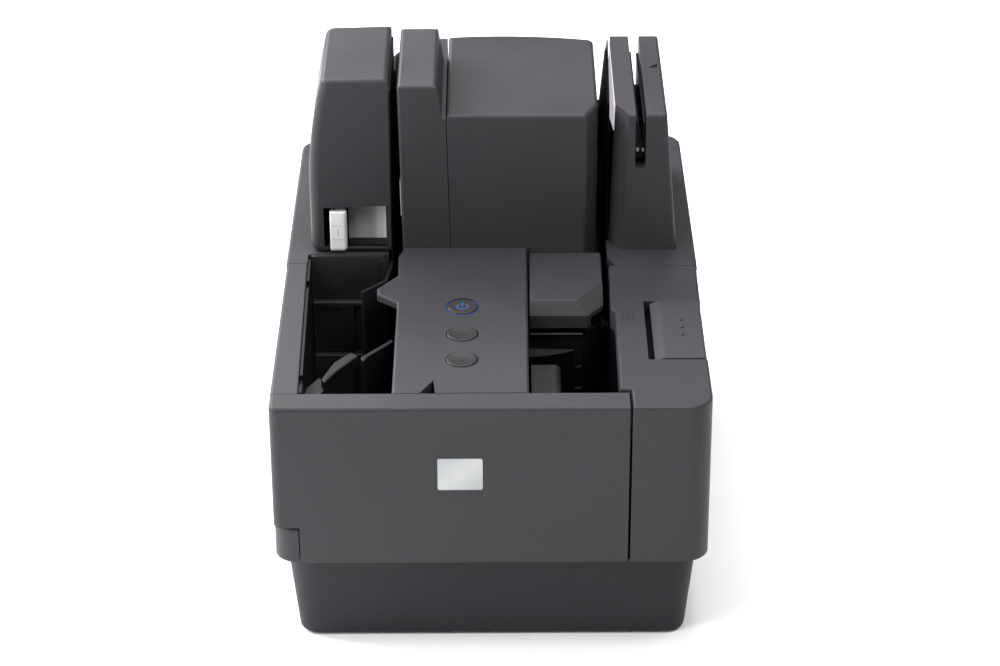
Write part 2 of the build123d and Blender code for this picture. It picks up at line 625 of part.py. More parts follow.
with BuildPart() as control_panel:
    ramp_solid(-58, 22, 10, -8.0, 0.0)
    prism(panel_plan, -9.0, 20.0, Mode.INTERSECT)
    soften("beak", verticals(control_panel, -54.9, 114.6) + verticals(control_panel, -54.5, 109.6), (2.0, 1.4, 1.0))
    soften("panel", verticals(control_panel, -44.9, 101.6) + verticals(control_panel, -44.9, 126.4), (1.2, 0.6))
    soften(
        "panel rim",
        [
            e for e in rim(control_panel, lambda f: f.normal_at(f.center()).Z > 0.9)
            if (e @ 0.5).Y > Y(14.8) and (e @ 0.5).Y < Y(142.0)
            and not (-33 < (e @ 0.5).X < -24 and (e @ 0.5).Y < Y(26.6))
        ],
        (1.3, 0.9, 0.6),
    )
    # the beak is only a thin tongue
    block(-60.0, -45.2, 100.0, 128.0, -10.0, -2.9, Mode.SUBTRACT)
    # hollow from below
    with BuildPart(mode=Mode.PRIVATE) as panel_hollow:
        ramp_solid(-58, 22, 10, -9.0, wall)
        prism(panel_plan_inner, -10.0, 20.0, Mode.INTERSECT)
    add(panel_hollow.part, mode=Mode.SUBTRACT)
    # button holes: the first is wider for its light ring
    post(button_x, button_ys[0], -10, 10, 8.1, Mode.SUBTRACT)
    for by in button_ys[1:]:
        post(button_x, by, -10, 10, 7.6, Mode.SUBTRACT)
save(control_panel, "control_panel")


def ramp_height(y):
    if y <= ramp_y0:
        return 0.0
    radius = (ramp_y1 - ramp_y0) / math.sin(ramp_angle)
    return radius - math.sqrt(radius**2 - (y - ramp_y0) ** 2)


with BuildPart() as power_button:
    bz = ramp_height(button_ys[0])
    post(button_x, button_ys[0], -3.2, bz + 0.55, button_r)
    soften("button", [e for e in power_button.edges() if e.center().Z > Z(bz + 0.5)], (0.8, 0.5))
    post(button_x, button_ys[0], -4.8, -3.2, 8.2)
    post(button_x, button_ys[0], -10.6, -4.8, 2.4)
save(power_button, "power_button")

for label, by in (("start_button", button_ys[1]), ("stop_button", button_ys[2])):
    with BuildPart() as round_button:
        post(button_x, by, -3.4, 0.55, button_r)
        soften("button", [e for e in round_button.edges() if e.center().Z > Z(0.5)], (0.7, 0.5))
        with Locations((button_x, Y(by), Z(0.55 + 34.0 - 0.55))):
            Sphere(34.0, mode=Mode.SUBTRACT)
        post(button_x, by - 0.5, -2.0, 0.35, 0.55)
        post(button_x, by, -4.8, -3.4, 8.4)
        post(button_x, by, -10.6, -4.8, 2.4)
    save(round_button, label)

with BuildPart() as light_ring:
    bz = ramp_height(button_ys[0])
    post(button_x, button_ys[0], -2.9, bz - 0.2, 8.1)
    post(button_x, button_ys[0], -3.1, bz + 1, button_r + 0.15, Mode.SUBTRACT)
save(light_ring, "light_ring")

with BuildPart() as button_board:
    block(-26.0, -1.0, 34.0, 101.0, -14.2, -12.6)
    for by in button_ys:
        block(button_x - 3, button_x + 3, by - 3, by + 3, -12.6, -12.0)
    block(-42.2, 14.4, 64.0, 69.0, -14.2, -12.6)
save(button_board, "button_board")

# ---------------------------------------------------------------------------
# Hopper cover: low block between the control panel and the right side
# ---------------------------------------------------------------------------
slab_z0, slab_z1 = 0.6, 2.2
with BuildPart() as hopper_cover:
    side_profile([(98.6, -12.2), (98.6, -5.6), (103.2, slab_z0), (149.8, slab_z1), (149.8, -8.0), (101.0, -8.0), (101.0, -12.2)], 18.4, 53.8)
    # wide bevel on the corner towards the path, square below
    with BuildPart(mode=Mode.PRIVATE) as corner_cut:
        with BuildSketch(Plane(origin=(0, Y(0), Z(0)), x_dir=(0.813, -0.5822, 0), z_dir=(-0.5822, -0.813, 0))) as cut_profile:
            with BuildLine():
                Polyline((-29.0, 3.0), (-20.0, -5.6), (-20.0, -15.0), (12.0, -15.0), (12.0, 3.0), close=True)
            make_face()
        extrude(cut_profile.sketch, amount=160.0, both=True)
    add(corner_cut.part, mode=Mode.SUBTRACT)
    soften("hopper cover", [e for e in up_faces(hopper_cover, -3) if (e @ 0.5).Y < Y(149)], (1.2, 0.8, 0.5))
    block(20.8, 51.4, 114.0, 147.4, -9.0, -2.2, Mode.SUBTRACT)
    block(20.8, 42.0, 104.0, 114.2, -9.0, -2.2, Mode.SUBTRACT)
save(hopper_cover, "hopper_cover")

# ---------------------------------------------------------------------------
# Middle cover: the big block over the core
# ---------------------------------------------------------------------------
def big_plan(left):
    """Closed plan of the big block: cut front corner on the right, bowed rear."""
    with BuildLine() as outline:
        b1 = Line((left, Y(block_front)), (46.1, Y(block_front)))
        b2 = Line(b1 @ 1, (52.1, Y(164.6)))
        b3 = Line(b2 @ 1, (52.1, Y(244.6)))
        b4 = ThreePointArc(b3 @ 1, (17.0, Y(250.0)), (left, Y(248.8)))
        Line(b4 @ 1, b1 @ 0)
    return outline.line.edges()


with BuildPart() as middle_cover:
    with BuildSketch(Plane.XY.offset(Z(-8.0))) as big_sketch:
        make_face(big_plan(-21.1))
    extrude(big_sketch.sketch, amount=big_top + 8.0)
    soften("big block", verticals(middle_cover, 46.1, block_front), (2.4, 1.5))
    soften("big block", verticals(middle_cover, 52.1, 164.6), (5.0, 3.0))
    soften("big block", verticals(middle_cover, 52.1, 244.6), (4.0, 3.0))
    # the left face leans with the seam
    front_profile([(-22.0, big_top + 1), (-21.12, big_top + 1), (-19.3, -9.0), (-22.0, -9.0)], 148.0, 252.0, Mode.SUBTRACT)
    soften("big block", up_faces(middle_cover, 70), (1.8, 1.2))
    with BuildSketch(Plane.XY.offset(Z(-9.4))) as big_hollow:
        make_face(big_plan(-18.4))
        offset(amount=-wall, mode=Mode.REPLACE)
    extrude(big_hollow.sketch, amount=big_top + 9.4 - wall, mode=Mode.SUBTRACT)
save(middle_cover, "middle_cover")

# ---------------------------------------------------------------------------
# Mid left cover: narrow raised block, lower on its right and behind
# ---------------------------------------------------------------------------
raised_rear = 223.4
with BuildPart() as mid_left_cover:
    front_profile(
        [(-43.0, -8.0), (-44.6, mid_top), (-25.9, mid_top), (-23.4, flange_top), (-21.5, flange_top), (-19.6, -8.0)],
        block_front, raised_rear,
    )
    soften("mid left", [e for e in mid_left_cover.edges() if e.center().X < -42 and e.center().Y < Y(151) and e.length > 60], (1.4, 1.0))
    soften("mid left", [e for e in up_faces(mid_left_cover, 85)], (1.8, 1.2, 0.8))
    soften("mid left", [e for e in mid_left_cover.edges() if abs(e.center().Z - Z(flange_top)) < 0.1 and e.center().Y < Y(151)], (1.2, 0.8))
    prism(
        [(-43.6, raised_rear - 1.0), (-43.6, 237.6), (-40.2, 245.2), (-33.0, 248.0), (-21.5, 248.0), (-21.5, raised_rear - 1.0)],
        -8.0, flange_top,
    )
    front_profile(
        [(-40.8, -10.0), (-42.2, mid_top - wall), (-28.4, mid_top - wall), (-25.9, flange_top - wall), (-23.9, flange_top - wall), (-22.2, -10.0)],
        block_front + wall, raised_rear - wall, Mode.SUBTRACT,
    )
    prism(
        [(-41.2, raised_rear - 3.0), (-41.2, 237.0), (-38.6, 243.2), (-32.4, 245.6), (-23.9, 245.6), (-23.9, raised_rear - 3.0)],
        -10.0, flange_top - wall, Mode.SUBTRACT,
    )
save(mid_left_cover, "mid_left_cover")

# ---------------------------------------------------------------------------
# Left cover: tilts outwards; window with the lever and the cartridge plate
# ---------------------------------------------------------------------------
lc_pivot_x, lc_pivot_z = -84.4, 4.3
lever_y, lever_z = 157.6, 4.6   # axis of the lever
win_z0, win_z1l, win_z1r = 3.0, 25.0, 26.0


with BuildPart() as left_cover:
    with BuildSketch(Plane.XZ.offset(-Y(left_front))) as lc_sketch:
        with BuildLine():
            c1 = Line((-49.0, Z(93.0)), (-81.2, Z(92.2)))
            c5 = Line((-49.0, Z(0.3)), (-88.5, Z(0.3)))
            c4 = Line(c5 @ 1, (-88.5, Z(36.0)))
            c3 = TangentArc(c4 @ 1, c1 @ 1, tangent=(0, 1))
            Line(c1 @ 0, c5 @ 0)
        make_face()
    extrude(lc_sketch.sketch, amount=-(left_rear - left_front))
    soften(
        "left cover front side",
        [
            e for e in left_cover.edges()
            if abs((e @ 0.0).Y - Y(left_front)) < 0.01 and abs((e @ 1.0).Y - Y(left_front)) < 0.01
            and (e @ 0.5).X < -82.0 and e.length > 20
        ],
        (4.6, 3.6),
    )
    soften(
        "left cover rear side",
        [
            e for e in left_cover.edges()
            if abs((e @ 0.0).Y - Y(left_rear)) < 0.01 and abs((e @ 1.0).Y - Y(left_rear)) < 0.01
            and (e @ 0.5).X < -82.0 and e.length > 20
        ],
        (5.0, 4.0, 3.0),
    )
    soften("left cover top", up_faces(left_cover, 80), (2.4, 1.8, 1.2))
    soften("left cover low", [e for e in left_cover.edges().filter_by(Axis.Y) if e.center().Z < Z(1) and e.center().X < -85], (4.0, 3.0))
    with BuildSketch(Plane.XZ.offset(-Y(left_front + wall))) as lc_hollow:
        with BuildLine():
            h1 = Line((-51.4, Z(90.4)), (-78.8, Z(89.8)))
            h5 = Line((-51.4, Z(2.6)), (-84.4, Z(2.6)))
            h6 = Line(h5 @ 1, (-86.0, Z(5.0)))
            h4 = Line(h6 @ 1, (-86.0, Z(36.0)))
            h3 = TangentArc(h4 @ 1, h1 @ 1, tangent=(0, 1))
            Line(h1 @ 0, h5 @ 0)
        make_face()
    extrude(lc_hollow.sketch, amount=-(left_rear - left_front - 2 * wall), mode=Mode.SUBTRACT)
    # window
    front_profile([(-82.0, win_z0), (-82.0, win_z1l), (-50.2, win_z1r), (-50.2, win_z0)], left_front - 1, left_front + wall + 0.4, Mode.SUBTRACT)
    # the sill is cut away under the lever
    block(-79.8, -70.1, left_front - 1.4, 162.2, 0.1, win_z0 + 0.4, Mode.SUBTRACT)
    # curved tongue that carries the lever's pin
    side_profile(
        [(162.0, 1.0), (164.8, 1.0), (164.8, 2.8), (160.6, 6.6), (159.0, 7.2), (156.6, 6.8), (155.9, 4.6), (156.4, 3.4), (158.6, 2.9)],
        -75.5, -73.9,
    )
    rod_x(lever_y, lever_z, -77, -72, 1.1 + fit_gap, Mode.SUBTRACT)
save(left_cover, "left_cover")

with BuildPart() as left_cover_skin:
    block(-49.0, -48.2, left_front + 1.6, left_rear + 0.4, -3.6, 87.5)
    soften("skin", [e for e in left_cover_skin.edges().filter_by(Axis.X) if e.center().Z > Z(80)], (3.0, 2.0))
save(left_cover_skin, "left_cover_skin")

with BuildPart() as cartridge_plate:
    block(-70.2, -51.4, left_front + 9.4, left_front + 10.2, 2.6, 60.0)
save(cartridge_plate, "cartridge_plate")

with BuildPart() as window_tray:
    block(-69.9, -51.4, left_front + wall + 0.1, left_front + 9.3, 2.6, 4.2)
save(window_tray, "window_tray")

with BuildPart() as ink_cartridge:
    block(-82.0, -53.0, left_front + 13.0, left_rear - 8.0, 2.6, 70.0)
    soften("cartridge", ink_cartridge.edges().filter_by(Axis.Z), (2.5, 1.5))
save(ink_cartridge, "ink_cartridge")

with BuildPart() as imprinter_lever:
    block(-79.0, -70.7, lever_y - 3.6, lever_y + 2.6, lever_z - 3.7, 22.9)
    soften("lever", [e for e in imprinter_lever.edges().filter_by(Axis.X) if e.center().Z < Z(2)], (2.4, 1.6))
    soften("lever", [e for e in imprinter_lever.edges().filter_by(Axis.Z) if e.center().Y < Y(lever_y - 3.5) and e.center().X > -71], (1.8, 1.2))
    soften("lever", [e for e in imprinter_lever.edges() if e.center().Y < Y(lever_y - 3.4)], (0.7, 0.4))
    block(-75.7, -73.7, lever_y - 2.0, lever_y + 4, 0.0, lever_z + 3.0, Mode.SUBTRACT)
    rod_x(lever_y, lever_z, -78.4, -71.6, 1.1)
save(imprinter_lever, "imprinter_lever")

# ---------------------------------------------------------------------------
# Right front: feeder cover (tilts outwards) with its latch
# ---------------------------------------------------------------------------
def feeder_profile(x0, x1, drop, y_lo, y_hi, low, mode=Mode.ADD):
    with BuildSketch(Plane.YZ.offset(x0)) as s:
        with BuildLine():
            f1 = Line((Y(y_lo), Z(-drop)), (Y(98.0), Z(-drop)))
            f2 = TangentArc(f1 @ 1, (Y(124.0), Z(1.1 - drop)), tangent=(1, 0))
            f3 = Line(f2 @ 1, (Y(y_hi), Z(1.1 + 0.085 * (y_hi - 124.0) - drop)))
            f4 = Line(f3 @ 1, (Y(y_hi), Z(low)))
            f5 = Line(f4 @ 1, (Y(y_lo), Z(low)))
            Line(f5 @ 1, f1 @ 0)
        make_face()
    extrude(s.sketch, amount=x1 - x0, mode=mode)


latch_x0, latch_y0, latch_y1 = 72.6, 45.0, 102.6

with BuildPart() as feeder_cover:
    feeder_profile(50.0, 110.0, 0.0, -5.0, door_split - seam / 2, upper_bottom)
    prism(
        [
            (door_left, 0), (half_w, 0), (half_w, door_split), (57.2, door_split), (56.9, 97.0), (58.9, 92.6),
            (58.5, 17.6), (door_left, 17.2),
        ],
        upper_bottom - 1, 20, Mode.INTERSECT,
    )
    soften("feeder corner", verticals(feeder_cover, half_w, 0), (12.0, 10.0))
    soften(
        "feeder rim",
        [
            e for e in rim(feeder_cover, lambda f: f.normal_at(f.center()).Z > 0.9)
            if (e @ 0.5).Y < Y(door_split - 1)
        ],
        (1.3, 0.9, 0.6),
    )
    with BuildPart(mode=Mode.PRIVATE) as feeder_hollow:
        feeder_profile(50.0, 110.0, wall, -5.0, door_split - 2.6, upper_bottom - 2)
        with BuildPart(mode=Mode.PRIVATE) as feeder_inner_plan:
            prism(
                [
                    (door_left + wall, wall), (90.0, wall), (half_w - wall, 10.0), (half_w - wall, door_split - 2.6),
                    (59.6, door_split - 2.6), (59.4, 98.0), (61.3, 93.0), (60.9, 20.0), (door_left + wall, 19.4),
                ],
                upper_bottom - 3, 20,
            )
        add(feeder_inner_plan.part, mode=Mode.INTERSECT)
    add(feeder_hollow.part, mode=Mode.SUBTRACT)
    # left wall is cut back below the deck: the dark guide wall takes its place
    block(54.0, 59.7, 18.6, door_split - 1.0, upper_bottom - 1, -11.0, Mode.SUBTRACT)
    block(54.0, 62.0, 18.6, 96.8, upper_bottom - 1, -11.0, Mode.SUBTRACT)
    # nothing hangs below the deck where the front panel turns
    block(54.0, 63.55, 16.0, 20.4, upper_bottom - 1, -11.0, Mode.SUBTRACT)
    # recess of the latch: open to the side
    block(latch_x0, 101, latch_y0, latch_y1, -6.0, 4, Mode.SUBTRACT)
    block(97.0, 101, latch_y0, latch_y1, -20.0, 4, Mode.SUBTRACT)
    # tray under the recess
    block(latch_x0 - 2.0, 94.0, latch_y0 - 2.0, latch_y1 + 2.0, -8.6, -6.4)
    block(92.4, 94.0, latch_y0 - 2.0, latch_y1 + 2.0, -22.0, -6.4)
    block(latch_x0 - 2.0, latch_x0, latch_y0 - 2.0, latch_y1 + 2.0, -6.5, -2.3)
    block(latch_x0 - 2.0, 97.0, latch_y0 - 2.0, latch_y0, -6.5, -2.3)
    block(latch_x0 - 2.0, 97.0, latch_y1, latch_y1 + 2.0, -6.5, -2.3)
    block(92.4, 98.0, latch_y0 - 2.0, latch_y0, -22.0, -2.3)
    block(92.4, 98.0, latch_y1, latch_y1 + 2.0, -22.0, -2.3)
    block(92.4, 98.0, latch_y0 - 2.0, latch_y1 + 2.0, -22.0, -20.0)
    # hinge knuckles on the outer wall
    for ky in (33.0, 99.0):
        block(door_pivot_x - 2.6, 98.0, ky, ky + 6.0, door_pivot_z - 2.6, door_pivot_z + 2.6)
    rod_y(door_pivot_x, door_pivot_z, 30, 108, 1.5 + fit_gap, Mode.SUBTRACT)
save(feeder_cover, "feeder_cover")

with BuildPart() as latch_knob:
    front_profile(
        [(75.6, -2.0), (75.6, -1.4), (79.4, 0.5), (99.6, 0.5), (99.6, -19.6), (97.3, -19.6), (97.3, -2.0)],
        latch_y0 + 0.4, latch_y1 - 0.4,
    )
    soften("latch", [e for e in latch_knob.edges().filter_by(Axis.Y) if e.center().X < 76 and e.center().Z > Z(-1.6)], (0.5, 0.3))
    soften("latch", [e for e in latch_knob.edges().filter_by(Axis.Y) if 79 < e.center().X < 80], (6.0, 4.0, 2.0))
    soften("latch", [e for e in latch_knob.edges().filter_by(Axis.Y) if e.center().X > 99 and e.center().Z > Z(0)], (1.4, 1.0))
    for dy in (68.2, 75.5, 82.8):
        with Locations((89.2, Y(dy), Z(0.3))):
            Sphere(1.25)
    # guide rib under the knob
    block(82.0, 92.0, latch_y0 + 6, latch_y1 - 6, -5.6, -2.0)
save(latch_knob, "latch_knob")

with BuildPart() as feeder_inner_wall:
    prism(
        [(56.9, 97.4), (58.3, 97.4), (58.3, door_split - 2.8), (outer_right, door_split - 2.8)],
        -78.0, -11.0,
    )
    prism([(60.2, 18.8), (61.7, 18.8), (61.7, 92.9), (58.4, 97.4), (56.9, 97.4), (60.2, 92.4)], -78.0, -11.0)
    # window and carrier of the pinch roller
    block(56.0, 59.0, 114.0, 126.0, -52.6, -21.2, Mode.SUBTRACT)
    block(58.2, 64.4, 115.0, 125.0, -55.6, -53.4)
    block(58.2, 64.4, 115.0, 125.0, -20.6, -18.4)
    post(*pinch_axis, -56, -53, 1.5 + fit_gap, Mode.SUBTRACT)
    post(*pinch_axis, -21, -18, 1.5 + fit_gap, Mode.SUBTRACT)
    # ties to the outer wall
    block(61.6, 97.6, 60.0, 61.6, -74.0, -40.0)
save(feeder_inner_wall, "feeder_inner_wall")

# ---------------------------------------------------------------------------
# Right rear: card housing (tilts outwards) with the card tower
# ---------------------------------------------------------------------------
rear_deck = 2.6
with BuildPart() as card_housing:
    side_profile(
        [(door_split + seam / 2, upper_bottom), (door_split + seam / 2, 2.1), (142.0, rear_deck), (door_rear - seam / 2, rear_deck), (door_rear - seam / 2, upper_bottom)],
        50.0, 104.0,
    )
    prism(
        [
            (60.8, door_split), (half_w_rear, door_split), (half_w_rear - 0.4, door_rear), (outer_right, door_rear),
            (outer_right, 144.6),
        ],
        upper_bottom - 1, 20, Mode.INTERSECT,
    )
    soften(
        "card housing rim",
        [e for e in up_faces(card_housing, 1) if (e @ 0.5).X > 99],
        (1.4, 1.0),
    )
    prism(
        [(62.8, 139.0), (half_w_rear - 2.6, 139.0), (half_w_rear - 2.9, door_rear - 2.6), (outer_right + 1.6, door_rear - 2.6), (outer_right + 1.6, 148.0)],
        upper_bottom - 1, rear_deck - wall, Mode.SUBTRACT,
    )
    for ky in (141.0, 262.0):
        block(door_pivot_x - 2.6, 98.6, ky, ky + 5.0, door_pivot_z - 2.6, door_pivot_z + 2.6)
    rod_y(door_pivot_x, door_pivot_z, 138, 270, 1.5 + fit_gap, Mode.SUBTRACT)
    # opening of the card slot down into the housing
    block(70.2, 74.8, 160.0, 240.0, rear_deck - 3, rear_deck + 1, Mode.SUBTRACT)
save(card_housing, "card_housing")

slot_bottom = 46.2
with BuildPart() as card_tower:
    front_profile(
        [(58.0, rear_deck), (60.7, tower_top + 0.2), (85.0, tower_top + 0.2), (91.2, rear_deck)],
        tower_front, tower_rear,
    )
    # the top rises a little to the rear
    side_profile([(150.0, tower_top_front), (250.0, tower_top), (250.0, 80.0), (150.0, 80.0)], 50.0, 95.0, Mode.SUBTRACT)
    # bevelled front left corner, wider at the foot
    with BuildPart(mode=Mode.PRIVATE) as bevel_cut:
        with BuildSketch(Plane.XY.offset(Z(rear_deck - 0.01))) as bevel_low:
            with BuildLine():
                Polyline(*pts([(50.0, tower_front - 4), (65.0, tower_front - 0.001), (57.8, 162.5), (50.0, 174.0)]), close=True)
            make_face()
        with BuildSketch(Plane.XY.offset(Z(tower_top + 1))) as bevel_high:
            with BuildLine():
                Polyline(*pts([(50.0, tower_front - 4), (66.9, tower_front - 0.001), (60.2, 165.7), (50.0, 186.5)]), close=True)
            make_face()
        loft()
    add(bevel_cut.part, mode=Mode.SUBTRACT)
    block(40, 66, tower_front - 6, tower_front, 0, 90, Mode.SUBTRACT)
    # card slot, open front, top and rear, with a rounded saddle
    with BuildSketch(Plane.XZ.offset(-Y(tower_front - 1))) as slot_sketch:
        with BuildLine():
            q1 = Line((70.0, Z(tower_top + 2)), (70.0, Z(slot_bottom + 2.6)))
            q2 = ThreePointArc(q1 @ 1, (72.6, Z(slot_bottom)), (75.2, Z(slot_bottom + 2.6)))
            q3 = Line(q2 @ 1, (75.2, Z(tower_top + 2)))
            Line(q3 @ 1, q1 @ 0)
        make_face()
    extrude(slot_sketch.sketch, amount=-(tower_rear - tower_front + 2), mode=Mode.SUBTRACT)
    soften(
        "tower front top",
        [e for e in card_tower.edges() if abs((e @ 0.5).Y - Y(tower_front)) < 0.05 and (e @ 0.5).Z > Z(73)],
        (2.4, 1.6, 1.0),
    )
    soften(
        "tower outer edges",
        [
            e for e in card_tower.edges()
            if (e @ 0.5).X > 84 and (abs((e @ 0.5).Y - Y(tower_front)) < 0.05) and e.length > 40
        ],
        (1.6, 1.0),
    )
    # hollow from below, one pocket each side of the slot
    prism([(64.5, 156.0), (68.0, 156.0), (68.0, tower_rear - wall), (61.6, tower_rear - wall), (61.6, 168.0)], rear_deck - 1, tower_top_front - 6, Mode.SUBTRACT)
    block(77.4, 83.0, 156.0, tower_rear - wall, rear_deck - 1, tower_top - 4, Mode.SUBTRACT)
    # small pointer recessed in the outer plate's top
    with BuildSketch(Plane.XY.offset(Z(tower_top + 0.5))) as pointer:
        with BuildLine():
            Polyline(*pts([(78.4, 207.4), (83.0, 207.4), (83.0, 212.0)]), close=True)
        make_face()
    extrude(pointer.sketch, amount=-1.7, mode=Mode.SUBTRACT)
save(card_tower, "card_tower")

with BuildPart() as card_slot_liners:
    # dark channel in the lower part of the slot: two cheeks and a floor
    block(70.0, 71.6, 160.0, tower_rear - 0.5, slot_bottom + 2.6, 68.0)
    block(74.1, 75.2, 160.0, tower_rear - 0.5, slot_bottom + 2.6, 67.4)
    side_profile(
        [(160.0, slot_bottom + 2.6), (160.0, 52.6), (tower_rear - 0.5, 50.0), (tower_rear - 0.5, slot_bottom + 2.6)],
        70.0, 75.2,
    )
save(card_slot_liners, "card_slot_liners")

with BuildPart() as card_path_guide:
    # tall dark guide that faces the core, leaning back to the tower at its upper rear corner
    block(outer_right, outer_right + 1.0, 163.4, 246.2, rear_deck, 20.0)
    with BuildSketch(Plane.XY.offset(Z(20.0))) as flare_low:
        with BuildLine():
            Polyline(*pts([(outer_right, 163.4), (outer_right + 1.0, 163.4), (outer_right + 1.0, 246.2), (outer_right, 246.2)]), close=True)
        make_face()
    with BuildSketch(Plane.XY.offset(Z(74.6))) as flare_high:
        with BuildLine():
            Polyline(*pts([(outer_right, 165.0), (outer_right + 0.9, 165.0), (outer_right + 2.9, 246.4), (outer_right + 2.1, 246.4)]), close=True)
        make_face()
    loft()
save(card_path_guide, "card_path_guide")

# ---------------------------------------------------------------------------
# Front panel: drops forward on two stub pins
# ---------------------------------------------------------------------------
with BuildPart() as front_panel:
    prism([(-100, 0), (panel_right, 0), (panel_right, panel_depth), (-100, panel_depth)], upper_bottom, 0)
    soften("front panel corner", verticals(front_panel, -100, 0), (4.5, 3.0))
    soften(
        "front panel rim",
        [e for e in up_faces(front_panel, -1) if (e @ 0.5).Y < Y(panel_depth - 0.2) and (e @ 0.5).X < panel_right - 0.2],
        (1.8, 1.2),
    )
    block(-97.6, panel_right - 2.4, wall, panel_depth - 3.4, upper_bottom - 1, -wall, Mode.SUBTRACT)
    # lower rear is open for the chassis lugs
    block(-97.6, panel_right - 2.4, wall + 0.6, panel_depth + 1, upper_bottom - 1, -58.0, Mode.SUBTRACT)
    # notch over the corner block
    block(-101, -88.0, -1, panel_depth + 1, upper_bottom - 1, -62.5, Mode.SUBTRACT)
    block(-88.0, -86.0, wall * 0.5, panel_depth - 3, upper_bottom, -61.0)
    block(-97.7, -86.0, wall * 0.5, panel_depth - 0.5, -62.5, -60.9)
    # rounded lower right corner
    soften("front panel low", [e for e in front_panel.edges().filter_by(Axis.Y) if e.center().X > panel_right - 0.1 and e.center().Z < Z(upper_bottom + 1)], (2.0, 1.2))
    # pin ears
    for ex in (-66.6, 43.6):
        block(ex, ex + 4.0, 1.2, panel_pivot_y + 2.8, panel_pivot_z - 2.8, panel_pivot_z + 2.8)
    rod_x(panel_pivot_y, panel_pivot_z, -70, 50, 1.5 + fit_gap, Mode.SUBTRACT)
    # shallow seat for the badge
    block(-24.6, -3.8, -1, 0.5, -42.6, -25.9, Mode.SUBTRACT)
save(front_panel, "front_panel")

with BuildPart() as badge_plate:
    with BuildSketch(Plane.XZ.offset(-Y(0.05))) as badge_sketch:
        with Locations((-14.2, Z(-34.25))):
            RectangleRounded(20.5, 16.4, 1.0)
    extrude(badge_sketch.sketch, amount=-0.44)
save(badge_plate, "badge_plate")

with BuildPart() as stub_pins:
    # front panel
    rod_x(panel_pivot_y, panel_pivot_z, -67.6, -56.6, 1.5)
    rod_x(panel_pivot_y, panel_pivot_z, 37.6, 48.2, 1.5)
save(stub_pins, "stub_pins")

# ---------------------------------------------------------------------------
# Drive: motor, belt, shafts and rollers
# ---------------------------------------------------------------------------
pulley_r = 8.0
motor_pulley_r = 6.0
belt_z0, belt_z1 = -75.6, -70.6

with BuildPart() as feed_shaft:
    post(*feed_axis, -79.0, -7.2, shaft_r)
    post(*feed_axis, -76.2, -70.0, pulley_r)
save(feed_shaft, "feed_shaft")

with BuildPart() as feed_roller:
    for rz in (-52.0, -33.0):
        post(*feed_axis, rz, rz + 13.0, feed_r)
        soften("roller", [e for e in feed_roller.edges() if e.geom_type == GeomType.CIRCLE and (abs(e.center().Z - Z(rz)) < 0.01 or abs(e.center().Z - Z(rz + 13)) < 0.01)], (0.6,))
    post(*feed_axis, -54.0, -18.0, shaft_r, Mode.SUBTRACT)
save(feed_roller, "feed_roller")

with BuildPart() as exit_shaft:
    post(*exit_axis, -79.0, -7.2, shaft_r)
    post(*exit_axis, -76.2, -70.0, pulley_r)
save(exit_shaft, "exit_shaft")

with BuildPart() as exit_roller:
    for rz in (-52.0, -36.0):
        post(*exit_axis, rz, rz + 11.0, exit_r)
    post(*exit_axis, -54.0, -18.0, shaft_r, Mode.SUBTRACT)
save(exit_roller, "exit_roller")

with BuildPart() as pinch_roller:
    post(*pinch_axis, -56.8, -17.2, 1.5)
    for rz in (-51.5, -32.5):
        post(*pinch_axis, rz, rz + 11.0, pinch_r)
save(pinch_roller, "pinch_roller")

with BuildPart() as motor_pulley:
    post(*motor_axis, -98.0, -70.0, 2.0)
    post(*motor_axis, -76.2, -70.0, motor_pulley_r)
save(motor_pulley, "motor_pulley")

with BuildPart() as drive_motor:
    post(*motor_axis, -120.0, plate_z0, 21.0)
    soften("motor", [e for e in drive_motor.edges() if e.geom_type == GeomType.CIRCLE], (1.5,))
    post(*motor_axis, -99.0, plate_z0 + 1, 2.0 + fit_gap, Mode.SUBTRACT)
save(drive_motor, "drive_motor")


def belt_circles(grow):
    edges = []
    for (bx, by_), br in ((feed_axis, pulley_r), (exit_axis, pulley_r), (motor_axis, motor_pulley_r)):
        edges.append(Edge.make_circle(br + grow, Plane((bx, Y(by_), 0))))
    return edges


with BuildPart() as drive_belt:
    with BuildSketch(Plane.XY.offset(Z(belt_z0))) as belt_outer:
        make_hull(belt_circles(1.4))
    extrude(belt_outer.sketch, amount=belt_z1 - belt_z0)
    with BuildSketch(Plane.XY.offset(Z(belt_z0 - 1))) as belt_inner:
        make_hull(belt_circles(0.3))
    extrude(belt_inner.sketch, amount=belt_z1 - belt_z0 + 2, mode=Mode.SUBTRACT)
save(drive_belt, "drive_belt")

with BuildPart() as main_board:
    block(-66, 66, 56, 150, -116.0, -114.4)
    block(-20, 8, 84, 112, -114.4, -111.8)
    block(24, 40, 66, 98, -114.4, -111.0)
    block(-58, -36, 66, 130, -114.4, -107.0)
    for px, py in ((-62, 60), (62, 60), (-62, 146), (62, 146)):
        post(px, py, base_bottom + wall, -116.0, 3.0)
save(main_board, "main_board")
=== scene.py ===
import json
import math

import bmesh
import bpy
from mathutils import Matrix, Vector
from mathutils.bvhtree import BVHTree


